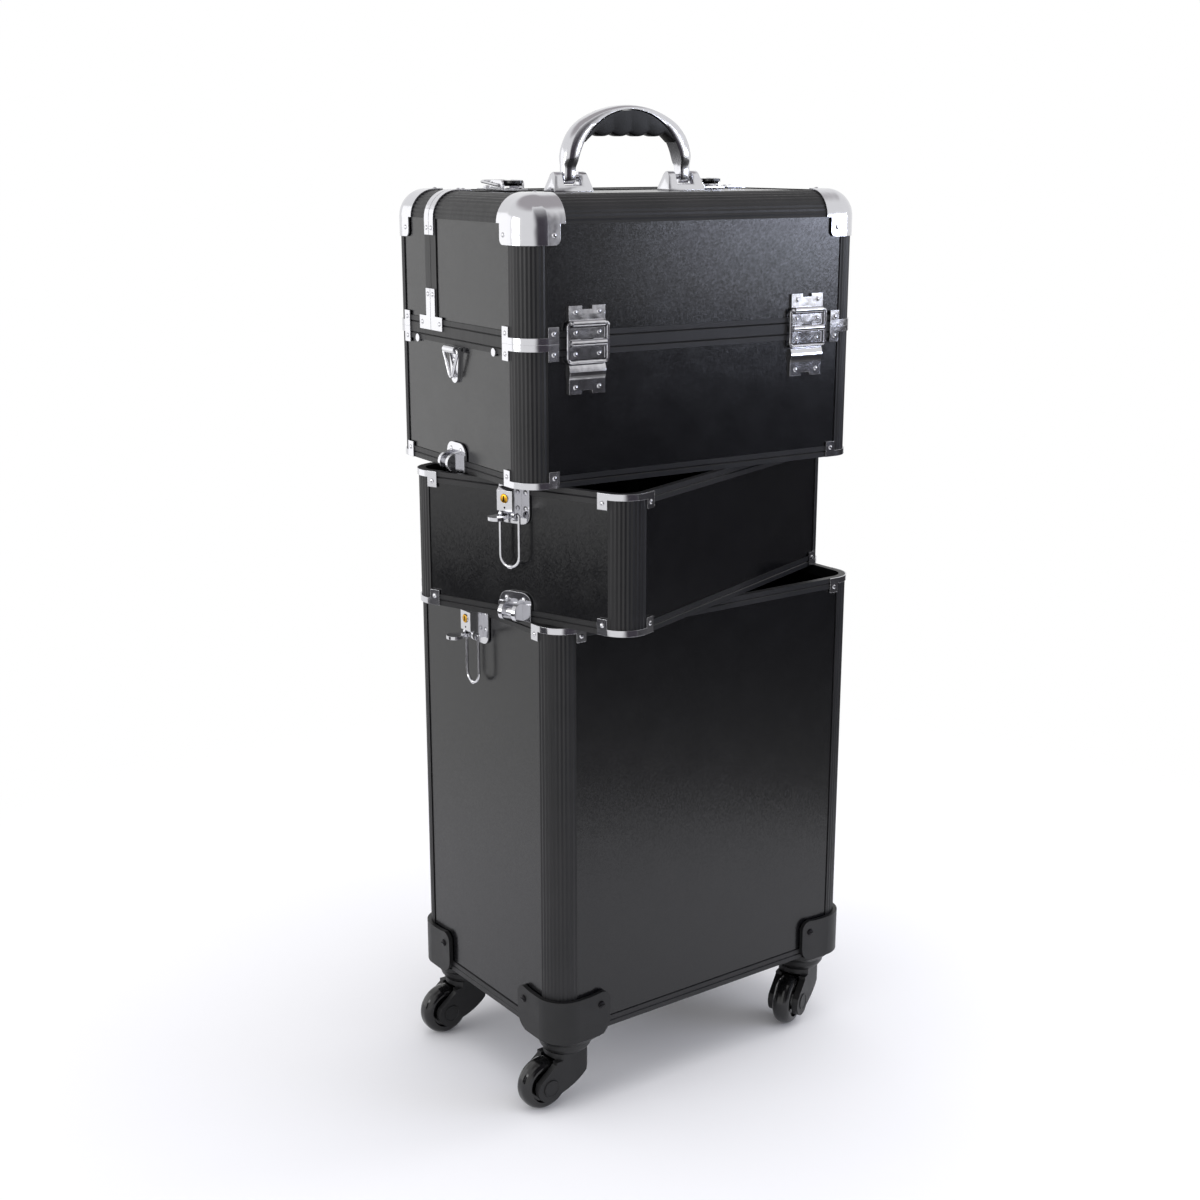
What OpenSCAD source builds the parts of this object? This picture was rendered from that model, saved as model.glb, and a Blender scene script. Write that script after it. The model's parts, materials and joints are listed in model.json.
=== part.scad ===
// Rolling makeup case: a base trolley on four swivel casters, a shallow tray and a two-lid train case,
// stacked loose and turned a little on each other. Millimetres, floor at z = 0 under the middle of the base.
// Front is -Y, left is -X. Each tier is drawn in its own frame, from its underside up.

/* [Case] */
// Outside width of every tier
case_w = 350; // [300:1:420]
// Outside depth of every tier
case_d = 236; // [220:1:280]
// Radius of the ribbed corner posts and lid edges
corner_r = 23; // [20:0.5:26]
// Thickness of posts, rails and walls together
wall = 6; // [5:0.5:7]
// How far the panels lie behind the rails
panel_recess = 1; // [0.5:0.25:2]
// Height of the edge rails
rail_h = 10; // [8:0.5:12]
// Thickness of the floors
floor_t = 4; // [3:0.5:6]
// Flutes on a quarter of a round corner
rib_count = 10; // [5:1:12]
// Depth of the flutes
rib_depth = 0.5; // [0.3:0.1:1]

/* [Tiers] */
// Height of the base underside above the floor
caster_h = 77; // [72:1:90]
// Height of the base trolley
base_h = 386; // [320:1:440]
// Height of the tray
tray_h = 121; // [105:1:150]
// Height of the lower half of the top case
box_h = 119; // [105:1:150]
// Height of the lids
lid_h = 119; // [114:1:140]
// Where the seam between the lids lies, behind the middle
seam_y = 43.3; // [30:0.1:50]
// Gap at the seam
seam_gap = 0.6; // [0.4:0.1:1]
// Turn of the tray on the base
tray_turn = 20.1; // [0:0.1:25]
// Sideways place of the tray on the base
tray_x = -14.6; // [-20:0.1:20]
// Forward place of the tray on the base
tray_y = -6.7; // [-20:0.1:20]
// Turn of the top case on the base
top_turn = -3.63; // [-10:0.01:10]
// Sideways place of the top case on the base
top_x = -15.7; // [-20:0.1:20]
// Forward place of the top case on the base
top_y = -4; // [-20:0.1:20]

/* [Chrome trim] */
// Thickness of the pressed brackets and plates
sheet = 1.2; // [0.8:0.1:1.5]
// Height of the band round a corner
band_h = 5.5; // [4:0.5:7]
// Width of a bracket's tab
tab_w = 10; // [8:0.5:12]
// Height of a bracket's tab
tab_h = 14; // [12:0.5:18]
// Length of a ball corner's skirts
skirt = 17; // [12:1:20]
// Width of a ball corner's flaps on the flat faces
flap_w = 12; // [8:0.5:14]
// Width of the leg of a seam bracket
seam_leg_w = 8; // [6:0.5:10]
// Height of the leg of a seam bracket
seam_leg_h = 36; // [28:1:40]
// Length of the foot of a seam bracket
seam_foot = 21; // [16:1:26]
// Height of the foot of a seam bracket
seam_foot_h = 12; // [10:0.5:14]

/* [Tier latches] */
// Width of the latch plate
latch_w = 32; // [28:1:36]
// Height of the latch plate
latch_h = 34; // [33:1:40]
// Width of the lock housing
lock_w = 16; // [14:0.5:18]
// Height of the lock housing
lock_h = 20; // [18:0.5:22]
// How far the lock housing stands out
lock_d = 15; // [12:0.5:18]
// Distance of the lever and bail pivot below the rim
latch_drop = 27; // [26:0.5:30]
// Distance of that pivot from the case side
latch_out = 8; // [7:0.25:9]
// Length of the hanging bail below its pivot
bail_len = 47; // [40:1:52]
// Reach of the thumb lever
lever_len = 26; // [20:1:28]
// Radius of the bail's wire
bail_r = 1.3; // [1:0.1:1.5]
// Width of a keeper's plate
keeper_w = 34; // [30:1:38]
// Height of a keeper's plate
keeper_h = 25; // [22:1:30]

/* [Strap rings] */
// Distance of a strap ring's bar below the split
ring_drop = 13; // [11:0.5:16]
// Half width of the ring at its bar
ring_half = 14; // [12:0.5:16]
// Length of the ring
ring_len = 25; // [20:1:28]

/* [Hinges] */
// From the end of the case to the middle of each hinge
hinge_x = 60; // [55:1:75]
// Width of the hinge leaves
leaf_w = 35; // [30:1:38]
// Distance of the hinge pin from the case face
pin_out = 3; // [3:0.1:3.5]
// Radius of the hinge knuckles
knuckle_r = 2.8; // [2.6:0.1:2.9]
// Radius of the wire loop
loop_r = 1.5; // [1.2:0.1:1.6]
// Height of the loop's upper bar over the hinge pin
loop_up = 16; // [15.5:0.5:18]
// Depth of the loop's lower bar under the hinge pin
loop_down = 15.6; // [15.5:0.1:16]

/* [Handle] */
// Half width of the bow
bow_r = 67.5; // [64:0.5:72]
// Height of the bow over the lid
bow_h = 73; // [70:0.5:78]
// Height over the lid where the bow's shoulders begin
bow_z = 25; // [22:0.5:27]
// Radius of the bow's shoulders
shoulder_r = 41; // [36:0.5:42]
// Thickness of the bow at its legs
bow_t = 11.5; // [8:0.5:12]
// Thickness of the bow at its top
bow_top = 4; // [3.5:0.25:6]
// Width of the bow
bow_w = 18; // [16:0.5:20]
// Height of the handle pivots over the lid
pivot_z = 11; // [11:0.5:14]
// Half length of the rubber grip
grip_half = 48; // [42:1:49]
// Depth of the grip under the top of the bow
grip_drop = 27; // [24:0.5:28]
// Length of a handle bracket
bracket_l = 40; // [38:1:52]

/* [Top latches] */
// Distance of each top latch from the middle
top_latch_x = 106; // [102:1:112]
// Width of the top latch base
top_latch_w = 24; // [22:0.5:26]
// Distance of the base's middle in front of the seam
top_latch_back = 16; // [15.5:0.5:20]
// Reach of the bail past the seam
top_bail_past = 12; // [10:0.5:14]

/* [Casters] */
// Distance of the swivels from the sides of the base
caster_in = 30; // [29.5:0.5:36]
// Radius of the wheels
wheel_r = 24.5; // [22:0.5:25]
// Width of the wheels
wheel_w = 18; // [16:0.5:22]
// Distance of the axle from the swivel
trail = 26; // [24:0.5:30]
// Radius of the boss over the fork
boss_r = 22; // [20:0.5:23]
// Depth of the boss under the base
boss_drop = 22; // [18:0.5:24]
// Length of a foot's wings from the corner
wing_l = 57; // [52:1:66]
// Height of the wings over the base underside
wing_h = 39; // [32:1:42]
// Thickness of the feet
foot_t = 4; // [3:0.5:5]

/* [Inner trays] */
// Thickness of the tray walls
tray_t = 2; // [1.5:0.25:3]
// Thickness of the arms
arm_t = 2; // [1.5:0.25:2.5]
// Half width of the arms
arm_r = 6; // [5:0.5:7]
// Radius of the tray pins
link_pin_r = 2.5; // [2:0.1:2.8]
// Gap between arm, wall and tray
arm_gap = 1.4; // [1:0.1:2]

/* [Hidden] */

// Finishes
panel_black = "#26262a";
post_black = "#3b393d";
chrome = "#c9ccd2";
brass = "#c8962e";
plastic_black = "#2b2a2d";
wheel_black = "#17171a";
tray_grey = "#55555a";
$fn = 48;

// Running gap between pieces that move, gap under the trim, gap between bars of a frame,
// and a small overlap for joined forms
clear = 0.3;
skin_gap = 0.1;
joint = 0.1;
lap = 0.4;

// Half sizes and levels
hw = case_w / 2;
hd = case_d / 2;
bar_x = case_w - 2 * corner_r;
bar_y = case_d - 2 * corner_r;
panel_t = wall - panel_recess;
inner_r = corner_r - wall;
trim_r = corner_r + skin_gap;
base_z = caster_h;
tray_z = base_z + base_h;
top_z = tray_z + tray_h;
top_h = box_h + lid_h;
front_depth = hd + seam_y - seam_gap / 2;
back_depth = hd - seam_y - seam_gap / 2;
hinge_mid = hw - hinge_x;

// Latch pivot: bore, trunnion and the bail's straight legs beside the ears
latch_bore_r = 2;
ear_in = 5.3;
ear_r = 5;
bail_half = lock_w / 2 + bail_r + 0.65;
lever_half = 7.5;
lever_t = 3;

// Hinge plates, measured from the hinge pin
pin_y = hd + pin_out;
panel_y = hd - panel_recess;
leaf_up = 12.3;
leaf_down = 13.4;
catch_low = 18.9;
catch_high = 30.3;
spring_top = 17.6;
spring_low = 30;
spring_end = 42;
loop_side = 0.2;
loop_half = leaf_w / 2 + loop_side + loop_r;
loop_bends = [2, 2, 3, 3];
curl_y = hd + loop_r + 1.4;

// Thickness of the fittings' plates
plate_t = 1.5;

// Handle: the crown arc between the shoulders, the round opening, the narrowed feet of the legs
bow_in = bow_r - bow_t;
shoulder_x = bow_r - shoulder_r;
crown_rise = bow_h - shoulder_r;
crown_z = (crown_rise * crown_rise - shoulder_x * shoulder_x - bow_z * bow_z) / (2 * (crown_rise - bow_z));
crown_r = bow_h - crown_z;
crown_a = atan2(bow_z - crown_z, shoulder_x);
opening_z = bow_h - bow_top - bow_in;
tongue_half = 5.8;
tongue_h = 10.5;
tongue_flare = 17;

// Handle brackets
bracket_x = bow_r - 7.5;
bracket_half = 10;
lug_t = 7;
lug_gap = 18;
lug_r = 5;
web_h = 4.5;
handle_pin_r = 2.3;

// Top latches on the lid top
top_latch_y = seam_y - top_latch_back;
top_base_half = 15;
cheek_t = 2;
cheek_h = 9;
cheek_y = [-10, 13];
cheek_round = 4;
top_lever_w = 15;
hook_h = 4;
hook_over = 2.5;
top_bail_r = 1.2;

// Casters
caster_x = hw - caster_in;
caster_y = hd - caster_in;
fork_w = wheel_w + 14;
fork_r = 20.5;
fork_brow = 9;
fork_top = caster_h - boss_drop - 2 * clear;
hub_r = 14;
stem_r = 4;
axle_r = 3;
left_turn = 180;
right_turn = 206;
rear_turn = 165;

// Cantilever links, in the side plane of a lid whose hinge is at +Y:
// hinge pin, arm pivot on the box and the link from either of them to a tray's pins
hinge_pivot = [pin_y, box_h];
arm_pivot = [hd - 48, box_h - 9];
front_link = [-71, 62];
back_link = [-55, 45];
half_way = 0.5;
// Front and back edges and underside and top of each tray, in the same plane
front_tray_y = [-8, hd - 24];
upper_tray_low = 46;
upper_tray_h = 30;
lower_tray_low = 13;
lower_tray_h = 28;
back_tray_y = [10, hd - 20];
back_tray_low = 21;
back_tray_h = 45;
upper_tray_z = [box_h + upper_tray_low, box_h + upper_tray_low + upper_tray_h];
lower_tray_z = [box_h + lower_tray_low, box_h + lower_tray_low + lower_tray_h];
back_tray_z = [box_h + back_tray_low, box_h + back_tray_low + back_tray_h];
side_in = hw - wall;
arm_x = side_in - arm_gap - arm_t;
tray_half = arm_x - arm_gap - 0.7;
link_bore_r = link_pin_r + clear;
open_bore_r = link_pin_r + 2 * clear;

// Points of an arc, of a fluted quarter, of an eased curve and of a bent wire's route
function arc(r, a0, a1, n = 8, c = [0, 0]) =
    [for (i = [0:n]) c + r * [cos(a0 + (a1 - a0) * i / n), sin(a0 + (a1 - a0) * i / n)]];
function fluted_arc(r, depth, count) =
    [for (i = [0:2 * count]) (r - (i % 2) * depth) * [cos(45 * i / count), sin(45 * i / count)]];
function curve(a, b, c, n = 8) =
    [for (i = [0:n]) let (t = i / n) (1 - t) * (1 - t) * a + 2 * t * (1 - t) * b + t * t * c];
function unit(v) = v / norm(v);
function swing(a) = a > 180 ? a - 360 : a < -180 ? a + 360 : a;
function bend(a, b, c, r, n) =
    let (u = unit(a - b), v = unit(c - b), half = acos(u * v) / 2)
    let (middle = b + unit(u + v) * r / sin(half), s = b + u * r / tan(half) - middle)
    let (e = b + v * r / tan(half) - middle, a0 = atan2(s.y, s.x), turn = swing(atan2(e.y, e.x) - a0))
    arc(r, a0, a0 + turn, n, middle);
function route(pts, radii, closed, n = 6) =
    let (k = len(pts), bends = [for (i = [closed ? 0 : 1:closed ? k - 1 : k - 2])
        each bend(pts[(i + k - 1) % k], pts[i], pts[(i + 1) % k], radii[i], n)])
    closed ? bends : concat([pts[0]], bends, [pts[k - 1]]);
function heading(path, i, closed) =
    let (k = len(path), a = path[closed ? (i + k - 1) % k : max(i - 1, 0)])
    unit(path[closed ? (i + 1) % k : min(i + 1, k - 1)] - a);

// A round wire along a flat route in the XY plane
module wire(path, r, closed = false, sides = 8) {
    k = len(path);
    rings = closed ? k : k - 1;
    pts = [for (i = [0:k - 1], j = [0:sides - 1])
        let (t = heading(path, i, closed), a = 360 * j / sides)
        [path[i].x - r * cos(a) * t.y, path[i].y + r * cos(a) * t.x, r * sin(a)]];
    skin = [for (i = [0:rings - 1], j = [0:sides - 1])
        let (a = i * sides, b = ((i + 1) % k) * sides, m = (j + 1) % sides)
        each [[a + j, b + j, b + m], [a + j, b + m, a + m]]];
    caps = closed ? [] : concat([[for (j = [0:sides - 1]) j]],
        [[for (j = [sides - 1:-1:0]) (k - 1) * sides + j]]);
    polyhedron(pts, concat(skin, caps), convexity = 6);
}

// Extrude a (Y, Z) outline along X, and an (X, Z) outline along Y, both about the middle
module along_x(length) rotate([90, 0, 90]) linear_extrude(length, center = true) children();
module along_y(length) rotate([90, 0, 0]) linear_extrude(length, center = true) children();
// A round bar along X from x0 to x1
module rod_x(r, x0, x1) translate([x0, 0, 0]) rotate([0, 90, 0]) cylinder(r = r, h = x1 - x0);
module rod_y(r, y0, y1) translate([0, y0, 0]) rotate([-90, 0, 0]) cylinder(r = r, h = y1 - y0);
// A block from corner to corner
module block(a, b) translate(a) cube(b - a);

// Places: tiers, the two lids, the four corners, the two ends
module at_base() translate([0, 0, base_z]) children();
module at_tray() translate([tray_x, tray_y, tray_z]) rotate([0, 0, tray_turn]) children();
module at_top() translate([top_x, top_y, top_z]) rotate([0, 0, top_turn]) children();
module at_front() at_top() mirror([0, 1, 0]) children();
module corners() for (x = [0, 1], y = [0, 1]) mirror([x, 0, 0]) mirror([0, y, 0]) children();
module ends() for (x = [0, 1]) mirror([x, 0, 0]) children();
module faces() for (y = [0, 1]) mirror([0, y, 0]) children();
module left_end() mirror([1, 0, 0]) children();
module at_corner(z) translate([hw - corner_r, hd - corner_r, z]) children();

// Extrusions of the frame: a fluted quarter round, and a rail with a groove along its face
module quarter_outline() polygon(concat(fluted_arc(corner_r, rib_depth, rib_count), arc(inner_r, 90, 0, 12)));
module quarter_post(h) linear_extrude(h) quarter_outline();
groove = 0.8;
module rail(length, h = rail_h) along_x(length) polygon([[0, 0], [0, h / 2 - groove], [-groove, h / 2],
    [0, h / 2 + groove], [0, h], [-wall, h], [-wall, 0]]);
// Copies a piece that faces +Y to the front and back, and one to the ends, of a tier
module four_sides() for (a = [0, 180]) rotate([0, 0, a]) {
    translate([0, hd, 0]) children(0);
    translate([hw, 0, 0]) rotate([0, 0, -90]) children(1);
}
module wall_panel(length, z0, z1) block([-length / 2, -wall, z0], [length / 2, -panel_recess, z1]);
floor_r = inner_r + 3;
module floor_panel() linear_extrude(floor_t) polygon(concat(
    arc(floor_r, 0, 90, 8, [side_in - floor_r, hd - wall - floor_r]),
    arc(floor_r, 90, 180, 8, [floor_r - side_in, hd - wall - floor_r]),
    arc(floor_r, 180, 270, 8, [floor_r - side_in, floor_r + wall - hd]),
    arc(floor_r, 270, 360, 8, [side_in - floor_r, floor_r + wall - hd])));

// Walls, posts and rails of one tier
module tier_panels(h) color(panel_black) {
    four_sides() {
        wall_panel(bar_x, rail_h, h - rail_h);
        wall_panel(bar_y, rail_h, h - rail_h);
    }
    floor_panel();
}
module tier_posts(h) color(post_black) corners() at_corner(0) quarter_post(h);
module tier_rails(h) color(post_black) for (z = [0, h - rail_h]) translate([0, 0, z]) four_sides() {
    rail(bar_x);
    rail(bar_y);
}

// Corner bracket with its band along the lower edge z = 0 and its tabs upwards
module corner_bracket() at_corner(0) {
    rotate_extrude(angle = 90) translate([trim_r, 0]) square([sheet, band_h]);
    bracket_tab();
    mirror([1, -1, 0]) bracket_tab();
}
module bracket_tab() block([-tab_w, trim_r, 0], [0, trim_r + sheet, tab_h]);
module low_brackets() color(chrome) corners() corner_bracket();
module high_brackets(h) color(chrome) corners() translate([0, 0, h]) mirror([0, 0, 1]) corner_bracket();

// Tier latch on the +X end: plate, lock housing with two ears, and the keyed barrel.
// It is drawn from the rim down.
latch_top = 2;
lock_top = 3;
lock_low = lock_top + lock_h;
module latch_plate() color(chrome) {
    difference() {
        union() {
            translate([hw, 0, 0]) rotate([90, 0, 90]) linear_extrude(plate_t) polygon(concat(
                [[latch_w / 2, -latch_top], [-latch_w / 2, -latch_top]],
                arc(8, 180, 270, 6, [8 - latch_w / 2, 8 - latch_top - latch_h]),
                arc(8, 270, 360, 6, [latch_w / 2 - 8, 8 - latch_top - latch_h])));
            translate([hw + plate_t, 0, 0]) along_y(lock_w) polygon([[-lap, -lock_top],
                [lock_d - 4, -lock_top], [lock_d - plate_t, -lock_top - 2.5],
                [lock_d - plate_t, -lock_low], [-lap, -lock_low]]);
            faces() latch_ear();
        }
        translate([hw + latch_out, 0, -latch_drop]) rod_y(latch_bore_r, -lock_w, lock_w);
        translate([hw + lock_d, 0, -lock_top - barrel_drop]) rod_x(barrel_r + skin_gap, -barrel_l, 1);
    }
}
module latch_ear() {
    block([hw + plate_t - lap, ear_in, -latch_drop - 3], [hw + latch_out, lock_w / 2, lap - lock_low]);
    translate([hw + latch_out, 0, -latch_drop]) rod_y(ear_r, ear_in, lock_w / 2);
}
barrel_r = 4;
barrel_l = 6;
barrel_drop = 9;
module lock_barrel() color(brass) translate([hw + lock_d, 0, -lock_top - barrel_drop]) difference() {
    rod_x(barrel_r, skin_gap - barrel_l, 0.6);
    block([-2.4, -0.6, -2.6], [1, 0.6, 2.6]);
}
module latch_plates(rim) ends() translate([0, 0, rim]) {
    latch_plate();
    lock_barrel();
}
// Thumb lever with its barrel and two trunnions
module latch_lever() color(chrome) translate([hw + latch_out, 0, -latch_drop]) {
    rod_y(lever_t + 0.5, clear - ear_in, ear_in - clear);
    rod_y(latch_bore_r - clear, -ear_in - 1.2, ear_in + 1.2);
    linear_extrude(lever_t, center = true) polygon(concat([[0, 4], [0, -4], [8, -4]],
        arc(lever_half, -90, 90, 12, [lever_len - lever_half, 0]), [[8, 4]]));
}
// Hanging bail, its ends turned in to the ears' bores
bail_turn = 1.6;
module latch_bail() color(chrome) translate([hw + latch_out, 0, -latch_drop]) rotate([90, 0, 90])
    wire(route([[ear_in + bail_turn, 0], [bail_half, 0], [bail_half, -bail_len + bail_r],
        [-bail_half, -bail_len + bail_r], [-bail_half, 0], [-ear_in - bail_turn, 0]],
        [0, bail_r + 0.2, bail_half - 0.1, bail_half - 0.1, bail_r + 0.2, 0], false), bail_r);
// Keeper on the +X end, over the lower edge: arched plate with a thicker fold below its rivets,
// two cheeks and the roller that the bail hooks on
fold_h = 15;
fold_out = 1.2;
cheek_r = 8;
roller_r = 4;
keeper_z = 0.5;
module keeper() color(chrome) {
    translate([hw, 0, 0]) rotate([90, 0, 90]) linear_extrude(plate_t) polygon(concat(
        [[-keeper_w / 2, keeper_z], [keeper_w / 2, keeper_z]],
        arc(10, 0, 90, 6, [keeper_w / 2 - 10, keeper_h - 10]),
        arc(10, 90, 180, 6, [10 - keeper_w / 2, keeper_h - 10])));
    block([hw + plate_t - lap, -keeper_w / 2, keeper_z],
        [hw + plate_t + fold_out, keeper_w / 2, keeper_z + fold_h]);
    faces() translate([hw, 7, keeper_z + cheek_r]) along_y(4) polygon(concat(
        [[plate_t - lap, cheek_r + 2], [plate_t - lap, -cheek_r]],
        arc(cheek_r, -90, 70, 10, [cheek_r - 1, 0])));
}
module keeper_roller() color(chrome) translate([hw + cheek_r - 0.5, 0, keeper_z + cheek_r])
    rod_y(roller_r, skin_gap - 5, 5 - skin_gap);
module keepers() ends() {
    keeper();
    keeper_roller();
}

// Plastic foot round a lower corner: two wings with rounded ears, a sole under the case that narrows
// to the boss, and the bore for the caster's stem
foot_dip = 1.5;
ear_round = 9;
foot_skirt = 12;
sole_in = 28;
sole_edge = 0.6;
boss_neck = 12.5;
neck_r = boss_r + 3.5;
module foot_wing() translate([0, trim_r, 0]) rotate([90, 0, 0]) mirror([1, 0, 0]) mirror([0, 0, 1])
    linear_extrude(foot_t) let (end = wing_l - corner_r) polygon(concat([[-lap, -foot_t],
        [-lap, wing_h - foot_dip]],
        curve([end / 4, wing_h - foot_dip], [end / 2, wing_h - foot_dip], [end - ear_round, wing_h], 4),
        arc(ear_round, 80, 0, 6, [end - ear_round, wing_h - ear_round]),
        curve([end, foot_skirt], [end, 0], [end - foot_skirt, -foot_t], 6)));
module sole_outline()
    let (out = trim_r + foot_t - sole_edge, side = corner_r - caster_in - sole_in, r = foot_skirt)
    polygon(concat(arc(out, 0, 90, 10), arc(r, 90, 180, 4, [side + r, out - r]),
        arc(sole_in, 180, 270, 8, [side + sole_in, side + sole_in]),
        arc(r, 270, 360, 4, [out - r, side + r])));
module foot() difference() {
    union() {
        at_corner(0) {
            rotate_extrude(angle = 90) translate([trim_r, -foot_t])
                square([foot_t, wing_h - foot_dip + foot_t]);
            foot_wing();
            mirror([1, -1, 0]) foot_wing();
        }
        at_corner(-foot_t) linear_extrude(foot_t) sole_outline();
        hull() {
            at_corner(-foot_t) linear_extrude(lap) offset(delta = -lap) sole_outline();
            translate([caster_x, caster_y, -boss_neck - lap]) cylinder(r = neck_r - lap, h = lap, $fn = 32);
        }
        translate([caster_x, caster_y, 0]) rotate_extrude() polygon([[0, -boss_drop],
            [boss_r - 1.5, -boss_drop], [boss_r, 1.5 - boss_drop], [boss_r + 2, 4.5 - boss_drop],
            [neck_r, -boss_neck], [0, -boss_neck]]);
    }
    translate([caster_x, caster_y, -boss_drop - 1]) cylinder(r = stem_r + clear, h = boss_drop);
}
module corner_feet_all() color(plastic_black) corners() foot();

// Caster in its own frame: swivel on Z, trail along +X, floor at z = 0
module fork() color(plastic_black) {
    difference() {
        union() {
            intersection() {
                along_y(fork_w) polygon(concat([[fork_r, fork_top], [-fork_r, fork_top]],
                    curve([-fork_r, fork_top - fork_brow], [-fork_r + 6, wheel_r],
                        [trail - hub_r * 0.8, wheel_r - hub_r * 0.6], 8),
                    arc(hub_r, 240, 390, 12, [trail, wheel_r]), [[fork_r, fork_top - fork_brow]]));
                union() {
                    cylinder(r = fork_r, h = fork_top);
                    block([0, -fork_w / 2, 0], [trail + hub_r + 1, fork_w / 2, fork_top - 6]);
                }
            }
            translate([0, 0, fork_top - lap]) cylinder(r = stem_r, h = boss_drop - 2 + lap);
        }
        translate([trail, 0, wheel_r]) {
            rod_y(wheel_r + 1.5, -wheel_w / 2 - 2 * clear, wheel_w / 2 + 2 * clear);
            rod_y(axle_r + skin_gap, -fork_w, fork_w);
        }
    }
    translate([trail, 0, wheel_r]) rod_y(axle_r, -fork_w / 2, fork_w / 2);
}
tread = 7;
wheel_hub = [9, 10];
wheel_dish = [16, 17];
dish = 3;
function wheel_side(s) = [[axle_r + clear, s * wheel_w / 2], [wheel_hub[0], s * wheel_w / 2],
    [wheel_hub[1], s * (wheel_w / 2 - dish)], [wheel_dish[0], s * (wheel_w / 2 - dish)],
    [wheel_dish[1], s * wheel_w / 2],
    each arc(tread, s * 90, 0, 6, [wheel_r - tread, s * (wheel_w / 2 - tread)])];
function backwards(list) = [for (i = [len(list) - 1:-1:0]) list[i]];
module wheel() color(wheel_black) translate([trail, 0, wheel_r]) rotate([90, 0, 0]) rotate_extrude()
    polygon(concat(wheel_side(-1), backwards(wheel_side(1))));
module caster_at(x, y, turn) translate([x * caster_x, y * caster_y, 0]) rotate([0, 0, turn]) children();

// Strap ring, its plate and tube on the +X end of the box, and the arm pivots with their outside heads
tube_r = 3.2;
tube_half = ring_half - 4;
ring_r = 1.4;
ring_z = box_h - ring_drop;
ring_x = hw + plate_t + tube_r;
module ring_plate() color(chrome) difference() {
    union() {
        translate([hw - panel_recess, 0, ring_z]) rotate([90, 0, 90])
            linear_extrude(plate_t + panel_recess) polygon(concat(
            [[tube_half - 1, 2], [1 - tube_half, 2]], arc(6, 200, 340, 8, [0, -ring_len + 2])));
        translate([ring_x, 0, ring_z]) rod_y(tube_r, -tube_half, tube_half);
        block([hw, -tube_half, ring_z - 1.5], [ring_x - 1.5, tube_half, ring_z + 1.5]);
    }
    translate([ring_x, 0, ring_z]) rod_y(ring_r + 0.4, -ring_half, ring_half);
}
module strap_ring() color(chrome) translate([ring_x, 0, ring_z]) rotate([90, 0, 90]) wire(route(
    [[-ring_half, 0], [ring_half, 0], [0, -ring_len - 2]], [2, 2, 3], true), ring_r, true);
module arm_pivot_pin() color(chrome) translate([0, arm_pivot.x, arm_pivot.y]) {
    rod_x(link_pin_r, arm_x - clear - 1, side_in);
    rod_x(link_pin_r + 1.7, arm_x - clear - 1, arm_x - clear);
}
module arm_pivot_head() color(chrome) translate([hw, arm_pivot.x, arm_pivot.y]) rod_x(3.5, 0, 1.5);
module side_fittings() ends() {
    ring_plate();
    faces() {
        arm_pivot_pin();
        arm_pivot_head();
    }
}

// Hinge on the +Y face, at the middle of the face: knuckles along X on the pin
knuckle_half = 5.7;
pin_r = 1.6;
module knuckle(x0, x1) translate([0, pin_y, 0]) rod_x(knuckle_r, x0, x1);
module pin_hole() translate([0, pin_y, 0]) rod_x(pin_r + clear, -leaf_w, leaf_w);
module lower_leaf() color(chrome) difference() {
    union() {
        block([-leaf_w / 2, hd, -leaf_down], [leaf_w / 2, hd + sheet, -knuckle_r - 0.5]);
        block([-knuckle_half, hd, -knuckle_r - 1], [knuckle_half, hd + sheet, -0.5]);
        block([-knuckle_half, hd, -2.6], [knuckle_half, pin_y, -1]);
        knuckle(-knuckle_half, knuckle_half);
    }
    pin_hole();
}
module upper_leaf() color(chrome) difference() {
    union() {
        block([-leaf_w / 2, hd, knuckle_r + 0.5], [leaf_w / 2, hd + sheet, leaf_up]);
        ends() {
            block([knuckle_half + clear, hd, 0.5], [leaf_w / 2 - 0.5, hd + sheet, knuckle_r + 1]);
            block([knuckle_half + clear, hd, 1], [leaf_w / 2 - 0.5, pin_y, 2.6]);
            knuckle(knuckle_half + clear, leaf_w / 2 - 0.5);
        }
    }
    pin_hole();
}
module hinge_pin() color(chrome) translate([0, pin_y, 0]) rod_x(pin_r, -leaf_w / 2, leaf_w / 2);
notch_half = 5;
notch = 3;
module catch_plate() color(chrome) difference() {
    union() {
        block([-leaf_w / 2, panel_y, catch_low - 1], [leaf_w / 2, hd + sheet, catch_high]);
        block([-leaf_w / 2 + 2, hd, loop_up], [leaf_w / 2 - 2, curl_y, loop_up + 2.6]);
        translate([0, curl_y, loop_up]) rod_x(loop_r + 1.3, 2 - leaf_w / 2, leaf_w / 2 - 2);
    }
    translate([0, curl_y, loop_up]) rod_x(loop_r + 0.4, -leaf_w, leaf_w);
    block([-notch_half, panel_y - 1, catch_high - notch], [notch_half, hd + 2 * sheet, catch_high + 1]);
}
// Bent spring plate under the loop: a bulge, a fold and a notched foot
bulge = 1.6;
module spring_plate() color(chrome) difference() {
    along_x(leaf_w) polygon(concat([[panel_y, -spring_end], [hd + sheet, -spring_end],
        [hd + sheet, -spring_low - 1.5]], [for (i = [0:8]) let (t = i / 8)
            [hd + sheet + bulge * sin(180 * t), -spring_low + t * (spring_low - spring_top)]],
        [[panel_y, -spring_top]]));
    block([-notch_half, panel_y - 1, -spring_end - 1], [notch_half, hd + 2 * sheet, notch - spring_end]);
}
module hinge_loop() color(chrome) translate([0, curl_y, 0]) rotate([90, 0, 0]) wire(route(
    [[-loop_half, loop_up], [loop_half, loop_up], [loop_half, -loop_down], [-loop_half, -loop_down]],
    loop_bends, true), loop_r, true);
module hinges() for (x = [-hinge_mid, hinge_mid]) translate([x, 0, box_h]) children();

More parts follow.
